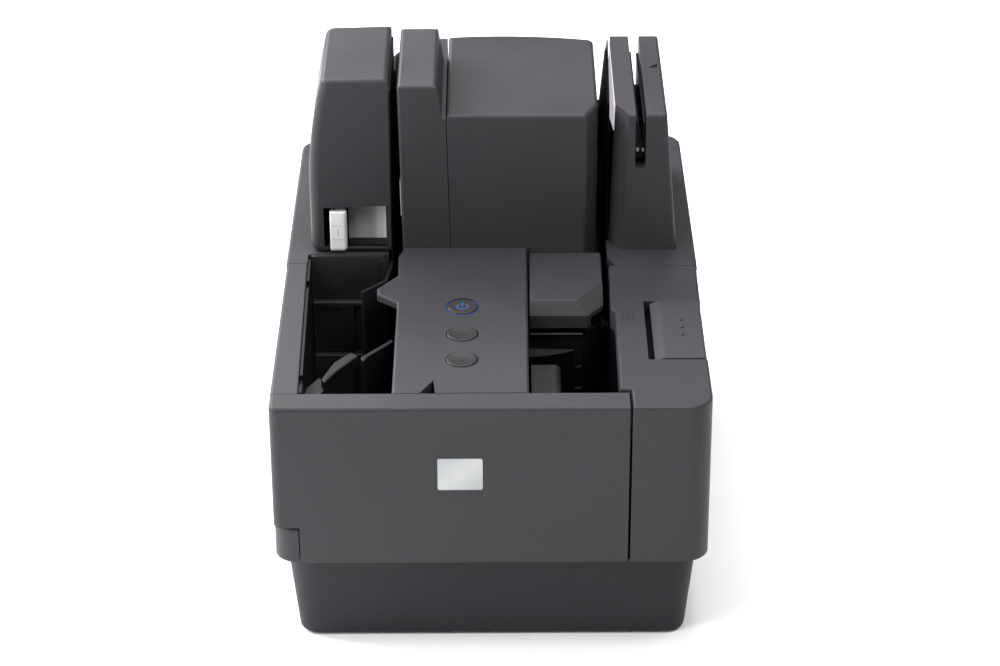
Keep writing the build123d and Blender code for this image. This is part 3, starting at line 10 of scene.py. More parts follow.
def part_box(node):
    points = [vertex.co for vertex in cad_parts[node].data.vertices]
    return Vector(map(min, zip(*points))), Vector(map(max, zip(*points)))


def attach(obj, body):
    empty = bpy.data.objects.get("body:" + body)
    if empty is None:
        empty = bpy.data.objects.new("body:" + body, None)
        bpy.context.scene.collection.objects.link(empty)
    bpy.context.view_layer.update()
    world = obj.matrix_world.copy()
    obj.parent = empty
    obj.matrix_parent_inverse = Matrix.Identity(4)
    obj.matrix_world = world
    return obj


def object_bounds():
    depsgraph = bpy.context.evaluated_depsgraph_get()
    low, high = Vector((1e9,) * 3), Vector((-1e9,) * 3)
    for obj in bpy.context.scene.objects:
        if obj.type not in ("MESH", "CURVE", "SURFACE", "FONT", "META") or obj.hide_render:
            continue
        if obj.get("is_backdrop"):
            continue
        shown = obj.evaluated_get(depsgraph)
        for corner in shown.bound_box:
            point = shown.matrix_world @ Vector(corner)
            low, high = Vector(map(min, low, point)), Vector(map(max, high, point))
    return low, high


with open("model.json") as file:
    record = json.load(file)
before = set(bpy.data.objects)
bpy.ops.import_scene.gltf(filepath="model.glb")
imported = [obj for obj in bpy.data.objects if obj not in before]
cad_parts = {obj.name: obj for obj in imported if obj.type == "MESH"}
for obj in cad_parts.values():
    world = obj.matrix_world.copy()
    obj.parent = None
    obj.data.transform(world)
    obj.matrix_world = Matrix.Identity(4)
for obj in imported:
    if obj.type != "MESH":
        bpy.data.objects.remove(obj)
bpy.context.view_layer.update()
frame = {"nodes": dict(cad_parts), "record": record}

nodes = frame["nodes"]

DEPTH = 290.0
DECK = 129.0


def P(x, y, z):
    """A drawing point in millimetres (y from the front face, z from the deck) in the row frame, in metres."""
    return Vector((x / 1000.0, (y - DEPTH / 2) / 1000.0, (z + DECK) / 1000.0))


# ---------------------------------------------------------------------------
# Materials
# ---------------------------------------------------------------------------
def new_material(name):
    m = bpy.data.materials.new(name)
    m.use_nodes = True
    nt = m.node_tree
    nt.nodes.clear()
    out = nt.nodes.new("ShaderNodeOutputMaterial")
    bsdf = nt.nodes.new("ShaderNodeBsdfPrincipled")
    nt.links.new(bsdf.outputs[0], out.inputs[0])
    return m, nt, bsdf


def node(nt, kind, **sockets):
    n = nt.nodes.new(kind)
    for k, v in sockets.items():
        n.inputs[k].default_value = v
    return n


def moulded(
    name,
    color,
    rough=0.5,
    grain=3200.0,
    bump=0.10,
    patch=0.05,
    edge=0.10,
    specular=0.175,
    coat=0.0,
):
    """Moulded plastic: fine eroded grain, slow tone and gloss patches, paler edges (rubbed wear at small edge values,
    painted edge highlight at large ones).
    """
    m, nt, b = new_material(name)
    L = nt.links.new
    co = nt.nodes.new("ShaderNodeTexCoord")
    fine = node(nt, "ShaderNodeTexNoise", Scale=grain, Detail=3.0, Roughness=0.6)
    L(co.outputs["Object"], fine.inputs["Vector"])
    mid = node(nt, "ShaderNodeTexNoise", Scale=grain / 5.0, Detail=2.0, Roughness=0.5)
    L(co.outputs["Object"], mid.inputs["Vector"])
    slow = node(nt, "ShaderNodeTexNoise", Scale=22.0, Detail=4.0, Roughness=0.55)
    L(co.outputs["Object"], slow.inputs["Vector"])
    # tone
    ramp = nt.nodes.new("ShaderNodeMapRange")
    ramp.inputs["From Min"].default_value = 0.25
    ramp.inputs["From Max"].default_value = 0.75
    ramp.inputs["To Min"].default_value = 1.0 - patch
    ramp.inputs["To Max"].default_value = 1.0 + patch
    L(slow.outputs["Fac"], ramp.inputs["Value"])
    speck = nt.nodes.new("ShaderNodeMapRange")
    speck.inputs["From Min"].default_value = 0.3
    speck.inputs["From Max"].default_value = 0.7
    speck.inputs["To Min"].default_value = 0.93
    speck.inputs["To Max"].default_value = 1.07
    L(fine.outputs["Fac"], speck.inputs["Value"])
    mul = node(nt, "ShaderNodeMath")
    mul.operation = "MULTIPLY"
    L(ramp.outputs[0], mul.inputs[0])
    L(speck.outputs[0], mul.inputs[1])
    # paler convex edges by pointiness: rubbed wear, and a painted highlight where edge is large
    geo = nt.nodes.new("ShaderNodeNewGeometry")
    edge_wear_and_highlight = nt.nodes.new("ShaderNodeMapRange")
    edge_wear_and_highlight.inputs["From Min"].default_value = 0.53
    edge_wear_and_highlight.inputs["From Max"].default_value = 0.62
    edge_wear_and_highlight.inputs["To Min"].default_value = 1.0
    edge_wear_and_highlight.inputs["To Max"].default_value = 1.0 + edge
    L(geo.outputs["Pointiness"], edge_wear_and_highlight.inputs["Value"])
    mul2 = node(nt, "ShaderNodeMath")
    mul2.operation = "MULTIPLY"
    L(mul.outputs[0], mul2.inputs[0])
    L(edge_wear_and_highlight.outputs[0], mul2.inputs[1])
    tint = nt.nodes.new("ShaderNodeVectorMath")
    tint.operation = "SCALE"
    tint.inputs[0].default_value = color
    L(mul2.outputs[0], tint.inputs["Scale"])
    L(tint.outputs[0], b.inputs["Base Color"])
    # gloss
    rr = nt.nodes.new("ShaderNodeMapRange")
    rr.inputs["From Min"].default_value = 0.3
    rr.inputs["From Max"].default_value = 0.7
    rr.inputs["To Min"].default_value = rough - 0.05
    rr.inputs["To Max"].default_value = rough + 0.05
    L(slow.outputs["Fac"], rr.inputs["Value"])
    L(rr.outputs[0], b.inputs["Roughness"])
    # relief
    addn = node(nt, "ShaderNodeMath")
    addn.operation = "ADD"
    L(fine.outputs["Fac"], addn.inputs[0])
    L(mid.outputs["Fac"], addn.inputs[1])
    bp = node(nt, "ShaderNodeBump", Strength=bump, Distance=0.00012)
    L(addn.outputs[0], bp.inputs["Height"])
    L(bp.outputs[0], b.inputs["Normal"])
    b.inputs["Specular IOR Level"].default_value = specular
    if coat:
        b.inputs["Coat Weight"].default_value = coat
        b.inputs["Coat Roughness"].default_value = 0.12
    return m


def metal(name, color, rough=0.3, direction=(1, 1, 60), scale=60.0):
    """Metal with a drawn or brushed grain."""
    m, nt, b = new_material(name)
    L = nt.links.new
    co = nt.nodes.new("ShaderNodeTexCoord")
    mp = nt.nodes.new("ShaderNodeMapping")
    mp.inputs["Scale"].default_value = direction
    L(co.outputs["Object"], mp.inputs["Vector"])
    n1 = node(nt, "ShaderNodeTexNoise", Scale=scale, Detail=5.0, Roughness=0.65)
    L(mp.outputs[0], n1.inputs["Vector"])
    r = nt.nodes.new("ShaderNodeMapRange")
    r.inputs["To Min"].default_value = rough - 0.08
    r.inputs["To Max"].default_value = rough + 0.12
    L(n1.outputs["Fac"], r.inputs["Value"])
    L(r.outputs[0], b.inputs["Roughness"])
    t = nt.nodes.new("ShaderNodeMapRange")
    t.inputs["To Min"].default_value = 0.86
    t.inputs["To Max"].default_value = 1.1
    L(n1.outputs["Fac"], t.inputs["Value"])
    sc = nt.nodes.new("ShaderNodeVectorMath")
    sc.operation = "SCALE"
    sc.inputs[0].default_value = color
    L(t.outputs[0], sc.inputs["Scale"])
    L(sc.outputs[0], b.inputs["Base Color"])
    b.inputs["Metallic"].default_value = 1.0
    bp = node(nt, "ShaderNodeBump", Strength=0.08, Distance=0.0001)
    L(n1.outputs["Fac"], bp.inputs["Height"])
    L(bp.outputs[0], b.inputs["Normal"])
    return m


def board(name):
    m, nt, b = new_material(name)
    L = nt.links.new
    co = nt.nodes.new("ShaderNodeTexCoord")
    v = node(nt, "ShaderNodeTexVoronoi", Scale=260.0)
    v.distance = "CHEBYCHEV"
    L(co.outputs["Object"], v.inputs["Vector"])
    mix = nt.nodes.new("ShaderNodeMix")
    mix.data_type = "RGBA"
    mix.inputs[6].default_value = (0.012, 0.075, 0.03, 1)
    mix.inputs[7].default_value = (0.03, 0.14, 0.055, 1)
    L(v.outputs["Distance"], mix.inputs[0])
    L(mix.outputs[2], b.inputs["Base Color"])
    b.inputs["Roughness"].default_value = 0.3
    return m


def glow(name, color, strength, base=(0.02, 0.02, 0.03), rough=0.35):
    """Glowing material: dim even glow with a little cloudiness in it, for light pipes and for a painted glow strip."""
    m, nt, b = new_material(name)
    L = nt.links.new
    co = nt.nodes.new("ShaderNodeTexCoord")
    n1 = node(nt, "ShaderNodeTexNoise", Scale=600.0, Detail=2.0)
    L(co.outputs["Object"], n1.inputs["Vector"])
    r = nt.nodes.new("ShaderNodeMapRange")
    r.inputs["To Min"].default_value = 0.75
    r.inputs["To Max"].default_value = 1.2
    L(n1.outputs["Fac"], r.inputs["Value"])
    sc = nt.nodes.new("ShaderNodeVectorMath")
    sc.operation = "SCALE"
    sc.inputs[0].default_value = color
    L(r.outputs[0], sc.inputs["Scale"])
    L(sc.outputs[0], b.inputs["Emission Color"])
    sb = nt.nodes.new("ShaderNodeVectorMath")
    sb.operation = "SCALE"
    sb.inputs[0].default_value = base
    L(r.outputs[0], sb.inputs["Scale"])
    L(sb.outputs[0], b.inputs["Base Color"])
    b.inputs["Emission Strength"].default_value = strength
    b.inputs["Roughness"].default_value = rough
    return m


def painted_sheen_plate(name, stops, axis, lo, hi, rough=0.34, metallic=0.3, scale=70.0, stretch=(30, 1, 1)):
    """Satin sheet with a painted sheen: a colour ramp across it stands in for reflection and shade, with a drawn grain.
    """
    m, nt, b = new_material(name)
    L = nt.links.new
    co = nt.nodes.new("ShaderNodeTexCoord")
    dot = nt.nodes.new("ShaderNodeVectorMath")
    dot.operation = "DOT_PRODUCT"
    dot.inputs[1].default_value = axis
    L(co.outputs["Object"], dot.inputs[0])
    mr = nt.nodes.new("ShaderNodeMapRange")
    mr.inputs["From Min"].default_value = lo
    mr.inputs["From Max"].default_value = hi
    L(dot.outputs["Value"], mr.inputs["Value"])
    ramp = nt.nodes.new("ShaderNodeValToRGB")
    ramp.color_ramp.interpolation = "EASE"
    els = ramp.color_ramp.elements
    while len(els) > 2:
        els.remove(els[-1])
    for k, (pos, c) in enumerate(stops):
        e = els[k] if k < 2 else els.new(pos)
        e.position = pos
        e.color = (c[0], c[1], c[2], 1)
    L(mr.outputs[0], ramp.inputs[0])
    mp = nt.nodes.new("ShaderNodeMapping")
    mp.inputs["Scale"].default_value = stretch
    L(co.outputs["Object"], mp.inputs["Vector"])
    n1 = node(nt, "ShaderNodeTexNoise", Scale=scale, Detail=4.0, Roughness=0.6)
    L(mp.outputs[0], n1.inputs["Vector"])
    t = nt.nodes.new("ShaderNodeMapRange")
    t.inputs["To Min"].default_value = 0.93
    t.inputs["To Max"].default_value = 1.07
    L(n1.outputs["Fac"], t.inputs["Value"])
    sc = nt.nodes.new("ShaderNodeVectorMath")
    sc.operation = "SCALE"
    L(ramp.outputs[0], sc.inputs[0])
    L(t.outputs[0], sc.inputs["Scale"])
    L(sc.outputs[0], b.inputs["Base Color"])
    r = nt.nodes.new("ShaderNodeMapRange")
    r.inputs["To Min"].default_value = rough - 0.06
    r.inputs["To Max"].default_value = rough + 0.08
    L(n1.outputs["Fac"], r.inputs["Value"])
    L(r.outputs[0], b.inputs["Roughness"])
    b.inputs["Metallic"].default_value = metallic
    return m


MAT = {}
MAT["body_grey"] = moulded("body_grey", (0.0370, 0.0371, 0.0412), rough=0.46, grain=1500.0, bump=0.16)
MAT["dark_grey"] = moulded("dark_grey", (0.0190, 0.0194, 0.0216), rough=0.45)
# button caps: edge=0.5 paints a pale rim highlight round the caps
MAT["button_grey"] = moulded("button_grey", (0.0300, 0.0300, 0.0315), rough=0.40, bump=0.16, grain=2400.0, edge=0.5)
MAT["base_grey"] = moulded("base_grey", (0.0200, 0.0206, 0.0240), rough=0.5)
# black_inner and dark_inner: large edge values paint thin highlights along the liner's and divider's top edges
MAT["black_inner"] = moulded("black_inner", (0.0042, 0.0043, 0.0047), rough=0.42, bump=0.05, edge=0.9)
MAT["dark_inner"] = moulded("dark_inner", (0.0085, 0.0088, 0.0098), rough=0.42, bump=0.05, edge=0.7)
MAT["sensor_black"] = moulded("sensor_black", (0.0040, 0.0040, 0.0046), rough=0.3, bump=0.02, specular=0.12)
MAT["ring_clear"] = glow("ring_clear", (0.02, 0.07, 0.36), 0.4)
MAT["lever_white"] = moulded("lever_white", (0.78, 0.77, 0.785), rough=0.35, bump=0.03, patch=0.02, edge=0.05, specular=0.2)
MAT["foot_rubber"] = moulded("foot_rubber", (0.007, 0.007, 0.007), rough=0.8, bump=0.3)
MAT["belt_rubber"] = moulded("belt_rubber", (0.007, 0.007, 0.007), rough=0.7, bump=0.3, grain=1500.0)
MAT["roller_rubber"] = moulded("roller_rubber", (0.016, 0.016, 0.0165), rough=0.75, bump=0.3, grain=2500.0)
MAT["steel"] = metal("steel", (0.30, 0.30, 0.31), rough=0.32)
MAT["motor_steel"] = metal("motor_steel", (0.24, 0.24, 0.25), rough=0.42)
MAT["zinc_sheet"] = moulded("zinc_sheet", (0.008, 0.008, 0.009), rough=0.5)
# plate behind the lever: the ramp stops paint its reflection, pale at both ends and darker in the middle
MAT["plate_metal"] = painted_sheen_plate(
    "plate_metal",
    [(0.0, (0.78, 0.77, 0.79)), (1.0, (0.80, 0.80, 0.82)), (0.35, (0.52, 0.51, 0.53)), (0.62, (0.40, 0.40, 0.41)), (0.85, (0.66, 0.66, 0.68))],
    (1.0, 0.0, 0.0), -0.0702, -0.0514, metallic=0.0,
)
# badge: the ramp paints a sheen, lighter across its middle and darker at the far end
MAT["badge_metal"] = painted_sheen_plate(
    "badge_metal",
    [(0.0, (0.36, 0.37, 0.38)), (1.0, (0.30, 0.31, 0.32)), (0.4, (0.44, 0.45, 0.455))],
    (0.6, 0.0, -0.8), -0.096, -0.068, metallic=0.2,
)
MAT["board_green"] = board("board_green")
# finishes of single parts inside a slot
# pocket flap tops: lighter copy of the flap plastic with strong edge lightening, a painted highlight
MAT["flap_top_painted_highlight"] = moulded("flap_top_painted_highlight", (0.0150, 0.0152, 0.0165), rough=0.46, bump=0.08, edge=0.8)
MAT["pusher_grey"] = moulded("pusher_grey", (0.0133, 0.0140, 0.0152), rough=0.48, bump=0.08)
# hopper cover: body grey made about a tenth lighter, painted light on the same plastic
MAT["slab_grey_painted_light"] = moulded("slab_grey_painted_light", (0.0405, 0.0407, 0.0447), rough=0.46, grain=1500.0, bump=0.16)
MAT["latch_grey"] = moulded("latch_grey", (0.0455, 0.0457, 0.0505), rough=0.44)
# hopper leaf: near-black, painted shade for the shadow it stands in
MAT["leaf_painted_shade"] = moulded("leaf_painted_shade", (0.0026, 0.0027, 0.0030), rough=0.5, bump=0.04, edge=0.3, specular=0.05)
# pocket back wall: edge=0.9 paints pale highlight lines along its ledges
MAT["pocket_black"] = moulded("pocket_black", (0.0190, 0.0186, 0.0190), rough=0.42, bump=0.06, edge=0.9)
MAT["guide_black"] = moulded("guide_black", (0.0040, 0.0041, 0.0046), rough=0.75, bump=0.04, edge=0.2, specular=0.01)
# pocket flap faces: darker copy of the flap plastic, painted shade
MAT["flap_face_painted_shade"] = moulded("flap_face_painted_shade", (0.0062, 0.0064, 0.0072), rough=0.5, bump=0.06, edge=0.5, specular=0.08)
# paler top of the hopper leaf: painted highlight
MAT["leaf_top_painted_highlight"] = moulded("leaf_top_painted_highlight", (0.0048, 0.0050, 0.0055), rough=0.5, bump=0.04)
MAT["well_painted_shade"] = moulded("well_painted_shade", (0.0022, 0.0022, 0.0025), rough=0.5, bump=0.04, edge=0.2, specular=0.05)
MAT["rim_painted_highlight"] = moulded("rim_painted_highlight", (0.075, 0.075, 0.080), rough=0.4, bump=0.05)
MAT["symbol_blue"] = glow("symbol_blue", (0.06, 0.20, 0.75), 0.8)
# painted light: emissive white for the strip that stands in for light seen through the gap beside the card tower
MAT["strip_white_painted_glow"] = glow("strip_white_painted_glow", (0.92, 0.88, 0.90), 0.55, base=(0.5, 0.48, 0.49))
MAT["lug_white"] = moulded("lug_white", (0.50, 0.50, 0.50), rough=0.4, bump=0.03, edge=0.05, specular=0.2)
MAT["mark_dark"] = moulded("mark_dark", (0.0120, 0.0122, 0.0135), rough=0.5, bump=0.05)


def paint(obj, slot_name):
    obj.data.materials.clear()
    obj.data.materials.append(MAT[slot_name])


slots = {s["node"]: s["material_slot"] for s in frame["record"]["subparts"]}
for name, obj in nodes.items():
    paint(obj, slots[name])
for name, finish in {
    "outer_pocket_flap": "flap_face_painted_shade",
    "inner_pocket_flap": "flap_face_painted_shade",
    "pocket_back_wall": "pocket_black",
    "card_path_guide": "guide_black",
    "hopper_pusher": "pusher_grey",
    "hopper_leaf": "leaf_painted_shade",
    "hopper_cover": "slab_grey_painted_light",
    "latch_knob": "latch_grey",
    "pocket_divider": "dark_inner",
    "pocket_liner": "black_inner",
}.items():
    paint(nodes[name], finish)


# ---------------------------------------------------------------------------
# Small parts modelled here, each on the body that carries it
# ---------------------------------------------------------------------------
def piece(name, bm, body, finish, bevel=0.0, smooth=True):
    me = bpy.data.meshes.new(name)
    bmesh.ops.recalc_face_normals(bm, faces=bm.faces[:])
    if bevel:
        bmesh.ops.bevel(bm, geom=bm.edges[:], offset=bevel, segments=2, profile=0.5, affect="EDGES", clamp_overlap=True)
    for f in bm.faces:
        f.smooth = smooth
    bm.to_mesh(me)
    bm.free()
    o = bpy.data.objects.new(name, me)
    bpy.context.scene.collection.objects.link(o)
    if smooth:
        me.set_sharp_from_angle(angle=math.radians(35))
    me.materials.append(MAT[finish])
    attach(o, body)
    return o


surface_cache = {}


def surface(node_name):
    if node_name not in surface_cache:
        o = nodes[node_name]
        vs = [o.matrix_world @ v.co for v in o.data.vertices]
        surface_cache[node_name] = BVHTree.FromPolygons(vs, [p.vertices[:] for p in o.data.polygons])
    return surface_cache[node_name]


def drop(node_name, x, y, top=60.0):
    """Height of a node's upper surface above the point (x, y), in metres."""
    a = P(x, y, top)
    hit = surface(node_name).ray_cast(a, Vector((0, 0, -1)))
    return hit[0].z if hit[0] is not None else None


def ribbon(bm, line, width, node_name, thick, sink=0.1, top=60.0, closed=False, taper=False):
    """Low rounded bead that follows a line over a node's upper surface. Millimetres."""
    n = len(line)
    rows = []
    for i, (x, y) in enumerate(line):
        a = line[i - 1] if (i > 0 or closed) else line[i]
        b = line[(i + 1) % n] if (i < n - 1 or closed) else line[i]
        dx, dy = b[0] - a[0], b[1] - a[1]
        ln = math.hypot(dx, dy) or 1.0
        nx, ny = -dy / ln, dx / ln
        w = width / 2
        if taper and not closed and i in (0, n - 1):
            w *= 0.55
        z = drop(node_name, x, y, top)
        row = []
        for u, h in ((-1.0, -sink), (-0.92, thick * 0.62), (-0.5, thick), (0.5, thick), (0.92, thick * 0.62), (1.0, -sink)):
            q = P(x + nx * w * u, y + ny * w * u, 0)
            zz = drop(node_name, x + nx * w * u, y + ny * w * u, top)
            if zz is None:
                zz = z
            row.append(bm.verts.new((q.x, q.y, zz + h / 1000)))
        rows.append(row)
    m = len(rows[0])
    for i in range(n if closed else n - 1):
        r0, r1 = rows[i], rows[(i + 1) % n]
        for k in range(m):
            bm.faces.new((r0[k], r0[(k + 1) % m], r1[(k + 1) % m], r1[k]))
    if not closed:
        bm.faces.new(rows[0][::-1])
        bm.faces.new(rows[-1])


def line2(a, b, n=8):
    return [(a[0] + (b[0] - a[0]) * i / (n - 1), a[1] + (b[1] - a[1]) * i / (n - 1)) for i in range(n)]


def hull_solid(bm, low, high):
    """Closed solid between two outlines of the same number of points (millimetres)."""
    a = [bm.verts.new(P(*q)) for q in low]
    b = [bm.verts.new(P(*q)) for q in high]
    n = len(a)
    bm.faces.new(a[::-1])
    bm.faces.new(b)
    for i in range(n):
        j = (i + 1) % n
        bm.faces.new((a[i], a[j], b[j], b[i]))


# power mark on the first button: an open ring and a bar
bx, by = -13.6, 96.4
bm = bmesh.new()
ring = [(bx + 2.55 * math.cos(t), by + 2.55 * math.sin(t)) for t in (math.radians(90 + 42 + k * (276 / 28)) for k in range(29))]
ribbon(bm, ring, 0.62, "power_button", 0.07, top=20.0)
ribbon(bm, line2((bx, by + 0.5), (bx, by + 4.3), 6), 0.62, "power_button", 0.07, top=20.0)
piece("power_mark", bm, "power_key", "symbol_blue")

# three raised strokes on the feeder deck
bm = bmesh.new()
for sx, sy in ((61.5, 83.2), (63.9, 83.2), (66.3, 84.2)):
    ribbon(bm, line2((sx, sy), (sx + 0.35, sy + 8.0), 7), 1.05, "feeder_cover", 0.4, top=20.0, taper=True)
piece("deck_strokes", bm, "feeder_door", "body_grey")

# pointer on the tower's outer plate, let into its groove
bm = bmesh.new()
tri = [(78.5, 207.5), (82.95, 207.5), (82.95, 211.8)]
floor_z = (drop("card_tower", 81.6, 208.7, 100.0) or 0.2046) * 1000 - 129.0
hull_solid(bm, [(x, y, floor_z - 0.3) for x, y in tri], [(x, y, floor_z + 0.07) for x, y in tri])
piece("tower_pointer", bm, "card_door", "mark_dark", smooth=False)

# flare of the card path: a wedge on the guide's left face that widens downward
def cast_x(node_name, x, y, z, way):
    hit = surface(node_name).ray_cast(P(x, y, z), Vector((way, 0, 0)))
    return hit[0].x * 1000 if hit[0] is not None else None


stations = []
for y in (168.0, 188.0, 208.0, 228.0, 244.0):
    face = cast_x("card_path_guide", 45.0, y, 60.0, 1)
    if face is None:
        continue
    wall = cast_x("middle_cover", face, y, 40.0, -1)
    if wall is None:
        wall = cast_x("middle_cover", face, y, 30.0, -1)
    reach = 3.4 if wall is None else max(0.3, min(3.4, face - wall - 0.45))
    stations.append((y, face, reach))
if len(stations) > 2:
    bm = bmesh.new()
    rows = []
    for y, face, reach in stations:
        rows.append([
            bm.verts.new(P(face + 0.1, y, 73.6)),
            bm.verts.new(P(face - 0.12, y, 73.6)),
            bm.verts.new(P(face - reach, y, 38.0)),
            bm.verts.new(P(face - reach, y, 20.0)),
            bm.verts.new(P(face + 0.1, y, 20.0)),
        ])
    for r0, r1 in zip(rows, rows[1:]):
        for k in range(5):
            bm.faces.new((r0[k], r0[(k + 1) % 5], r1[(k + 1) % 5], r1[k]))
    bm.faces.new(rows[0][::-1])
    bm.faces.new(rows[-1])
    piece("guide_flare", bm, "card_door", "guide_black", smooth=False)

# painted light: a glowing pale strip on the tower's flank, behind the tall guide, standing in for light seen through
# the gap
bm = bmesh.new()


def flank(z):
    return 58.0 + (z - 2.6) * (2.7 / 74.0)


outline = [(164.6, 74.0), (240.0, 74.0), (240.0, 51.0), (203.0, 51.0), (164.6, 61.5)]
hull_solid(bm, [(flank(z) - 0.35, y, z) for y, z in outline], [(flank(z) - 0.1, y, z) for y, z in outline])
piece("flank_painted_light_strip", bm, "card_door", "strip_white_painted_glow", smooth=False)

# two pale lugs at the bottom of the card slot
bm = bmesh.new()
for x0, x1, z0, z1 in ((70.8, 72.1, 53.3, 54.5), (73.5, 74.6, 53.3, 54.3)):
    q = [(x0, 157.2), (x1, 157.2), (x1, 160.05), (x0, 160.05)]
    hull_solid(bm, [(x, y, z0) for x, y in q], [(x, y, z1) for x, y in q])
piece("slot_lugs", bm, "card_door", "lug_white", bevel=0.00025)

# painted highlight on the upper faces of the leaf and the two flaps, as thin paler caps on their top faces
def painted_highlight_cap(name, node_name, body, finish, depth):
    o = nodes[node_name]
    hi = max((o.matrix_world @ v.co).z for v in o.data.vertices)
    bm = bmesh.new()
    for f in o.data.polygons:
        c = o.matrix_world @ f.center
        if f.normal.z > 0.7 and c.z > hi - depth:
            q = [o.matrix_world @ o.data.vertices[i].co for i in f.vertices]
            bm.faces.new([bm.verts.new((a.x, a.y, a.z + 0.00006)) for a in q])
    bmesh.ops.remove_doubles(bm, verts=bm.verts[:], dist=0.00002)
    # closed sheet: the top faces, a copy 0.1 mm lower and a skirt between them
    tops, rim = bm.faces[:], [e for e in bm.edges if len(e.link_faces) == 1]
    low = {v: bm.verts.new((v.co.x, v.co.y, v.co.z - 0.0001)) for v in bm.verts[:]}
    for f in tops:
        bm.faces.new([low[v] for v in reversed(f.verts[:])])
    for e in rim:
        v0, v1 = e.verts
        bm.faces.new((v0, v1, low[v1], low[v0]))
    return piece(name, bm, body, finish, smooth=False)


painted_highlight_cap("leaf_highlight_cap", "hopper_leaf", "chassis", "leaf_top_painted_highlight", 0.004)
painted_highlight_cap("outer_flap_highlight_cap", "outer_pocket_flap", "outer_flap", "flap_top_painted_highlight", 0.04)
painted_highlight_cap("inner_flap_highlight_cap", "inner_pocket_flap", "inner_flap", "flap_top_painted_highlight", 0.04)

# painted light: a pale strip on the narrow block's flank, in the gap beside the tilting cover, standing in for light
# seen through the gap
def flank_x(y, z):
    hit = surface("mid_left_cover").ray_cast(P(-52.0, y, z), Vector((1, 0, 0)))
    return hit[0].x * 1000 if hit[0] is not None else None


lo, hi = flank_x(157.0, 21.5), flank_x(157.0, 39.5)
if lo is not None and hi is not None and lo < -38 and hi < -38:
    bm = bmesh.new()
    hull_solid(
        bm,
        [(lo - 0.45, 153.0, 21.5), (lo + 0.02, 153.0, 21.5), (lo + 0.02, 158.0, 21.5), (lo - 0.45, 158.0, 21.5)],
        [(hi - 0.45, 153.0, 39.5), (hi + 0.02, 153.0, 39.5), (hi + 0.02, 158.0, 39.5), (hi - 0.45, 158.0, 39.5)],
    )
    piece("gap_painted_light_strip", bm, "chassis", "lug_white", smooth=False)

# painted highlight: a pale rim strip along the top edge of the hopper's rear wall
bm = bmesh.new()
low = [(18.6, 98.95, -15.8), (43.5, 98.95, -15.8), (51.6, 107.8, -15.8), (51.9, 107.3, -15.8), (43.75, 98.45, -15.8), (18.6, 98.45, -15.8)]
for i in range(1):
    a0, a1 = low[i], low[i + 1]
    b0, b1 = low[5 - i], low[4 - i]
    q = [a0, a1, b1, b0]
    hull_solid(bm, q, [(x, y, -15.15) for x, y, z in q])
bmesh.ops.remove_doubles(bm, verts=bm.verts[:], dist=0.00002)
piece("hopper_wall_rim_highlight", bm, "chassis", "rim_painted_highlight", smooth=False)

# sloping ribs on the same wall
bm = bmesh.new()
for x0, z0, x1, z1 in ((34.5, -34.6, 39.9, -33.2), (40.6, -33.7, 43.5, -32.8), (34.6, -43.8, 39.75, -42.6), (39.9, -45.1, 43.4, -44.9)):
    hull_solid(
        bm,
        [(x0, 99.15, z0 - 0.5), (x1, 99.15, z1 - 0.5), (x1, 98.1, z1 - 0.5), (x0, 98.1, z0 - 0.5)],
        [(x0, 99.15, z0 + 0.25), (x1, 99.15, z1 + 0.25), (x1, 98.3, z1 + 0.05), (x0, 98.3, z0 + 0.05)],
    )
piece("hopper_ribs", bm, "chassis", "dark_grey", bevel=0.00012)

# painted shade: near-black sheet under the latch, on the recess floor and its left wall
bm = bmesh.new()
q = [(72.75, 45.2), (81.6, 45.2), (81.6, 102.4), (72.75, 102.4)]
hull_solid(bm, [(x, y, -6.38) for x, y in q], [(x, y, -6.05) for x, y in q])
q = [(72.62, 45.2), (72.95, 45.2), (72.95, 102.4), (72.62, 102.4)]
hull_solid(bm, [(x, y, -6.3) for x, y in q], [(x, y, -0.9) for x, y in q])
piece("latch_well_shade", bm, "feeder_door", "well_painted_shade", smooth=False)

# marks moulded on the white lever: two low waves and a short bar
bm = bmesh.new()


def lever_bead(points, width):
    y0, y1 = 153.62, 154.1
    for (xa, za), (xb, zb) in zip(points, points[1:]):
        dx, dz = xb - xa, zb - za
        ln = math.hypot(dx, dz)
        nx, nz = -dz / ln * width / 2, dx / ln * width / 2
        low = [(xa - nx, y1, za - nz), (xb - nx, y1, zb - nz), (xb + nx, y1, zb + nz), (xa + nx, y1, za + nz)]
        high = [(xa - nx * 0.6, y0, za - nz * 0.6), (xb - nx * 0.6, y0, zb - nz * 0.6), (xb + nx * 0.6, y0, zb + nz * 0.6), (xa + nx * 0.6, y0, za + nz * 0.6)]
        hull_solid(bm, low, high)


lever_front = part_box("imprinter_lever")[0][1] * 1000 + 145.0


def lever_marks():
    for zc, sag in ((15.4, 0.5), (8.6, -0.5)):
        pts = [(-77.9 + 6.0 * k / 6, zc + sag * math.sin(math.pi * k / 6)) for k in range(7)]
        lever_bead(pts, 0.35)
    lever_bead([(-75.0, 10.4), (-75.0, 13.6)], 0.5)


lever_marks()
for v in bm.verts:
    v.co.y += (lever_front - 154.0) / 1000.0 + 0.0002
piece("lever_marks", bm, "lever", "lug_white", smooth=False)

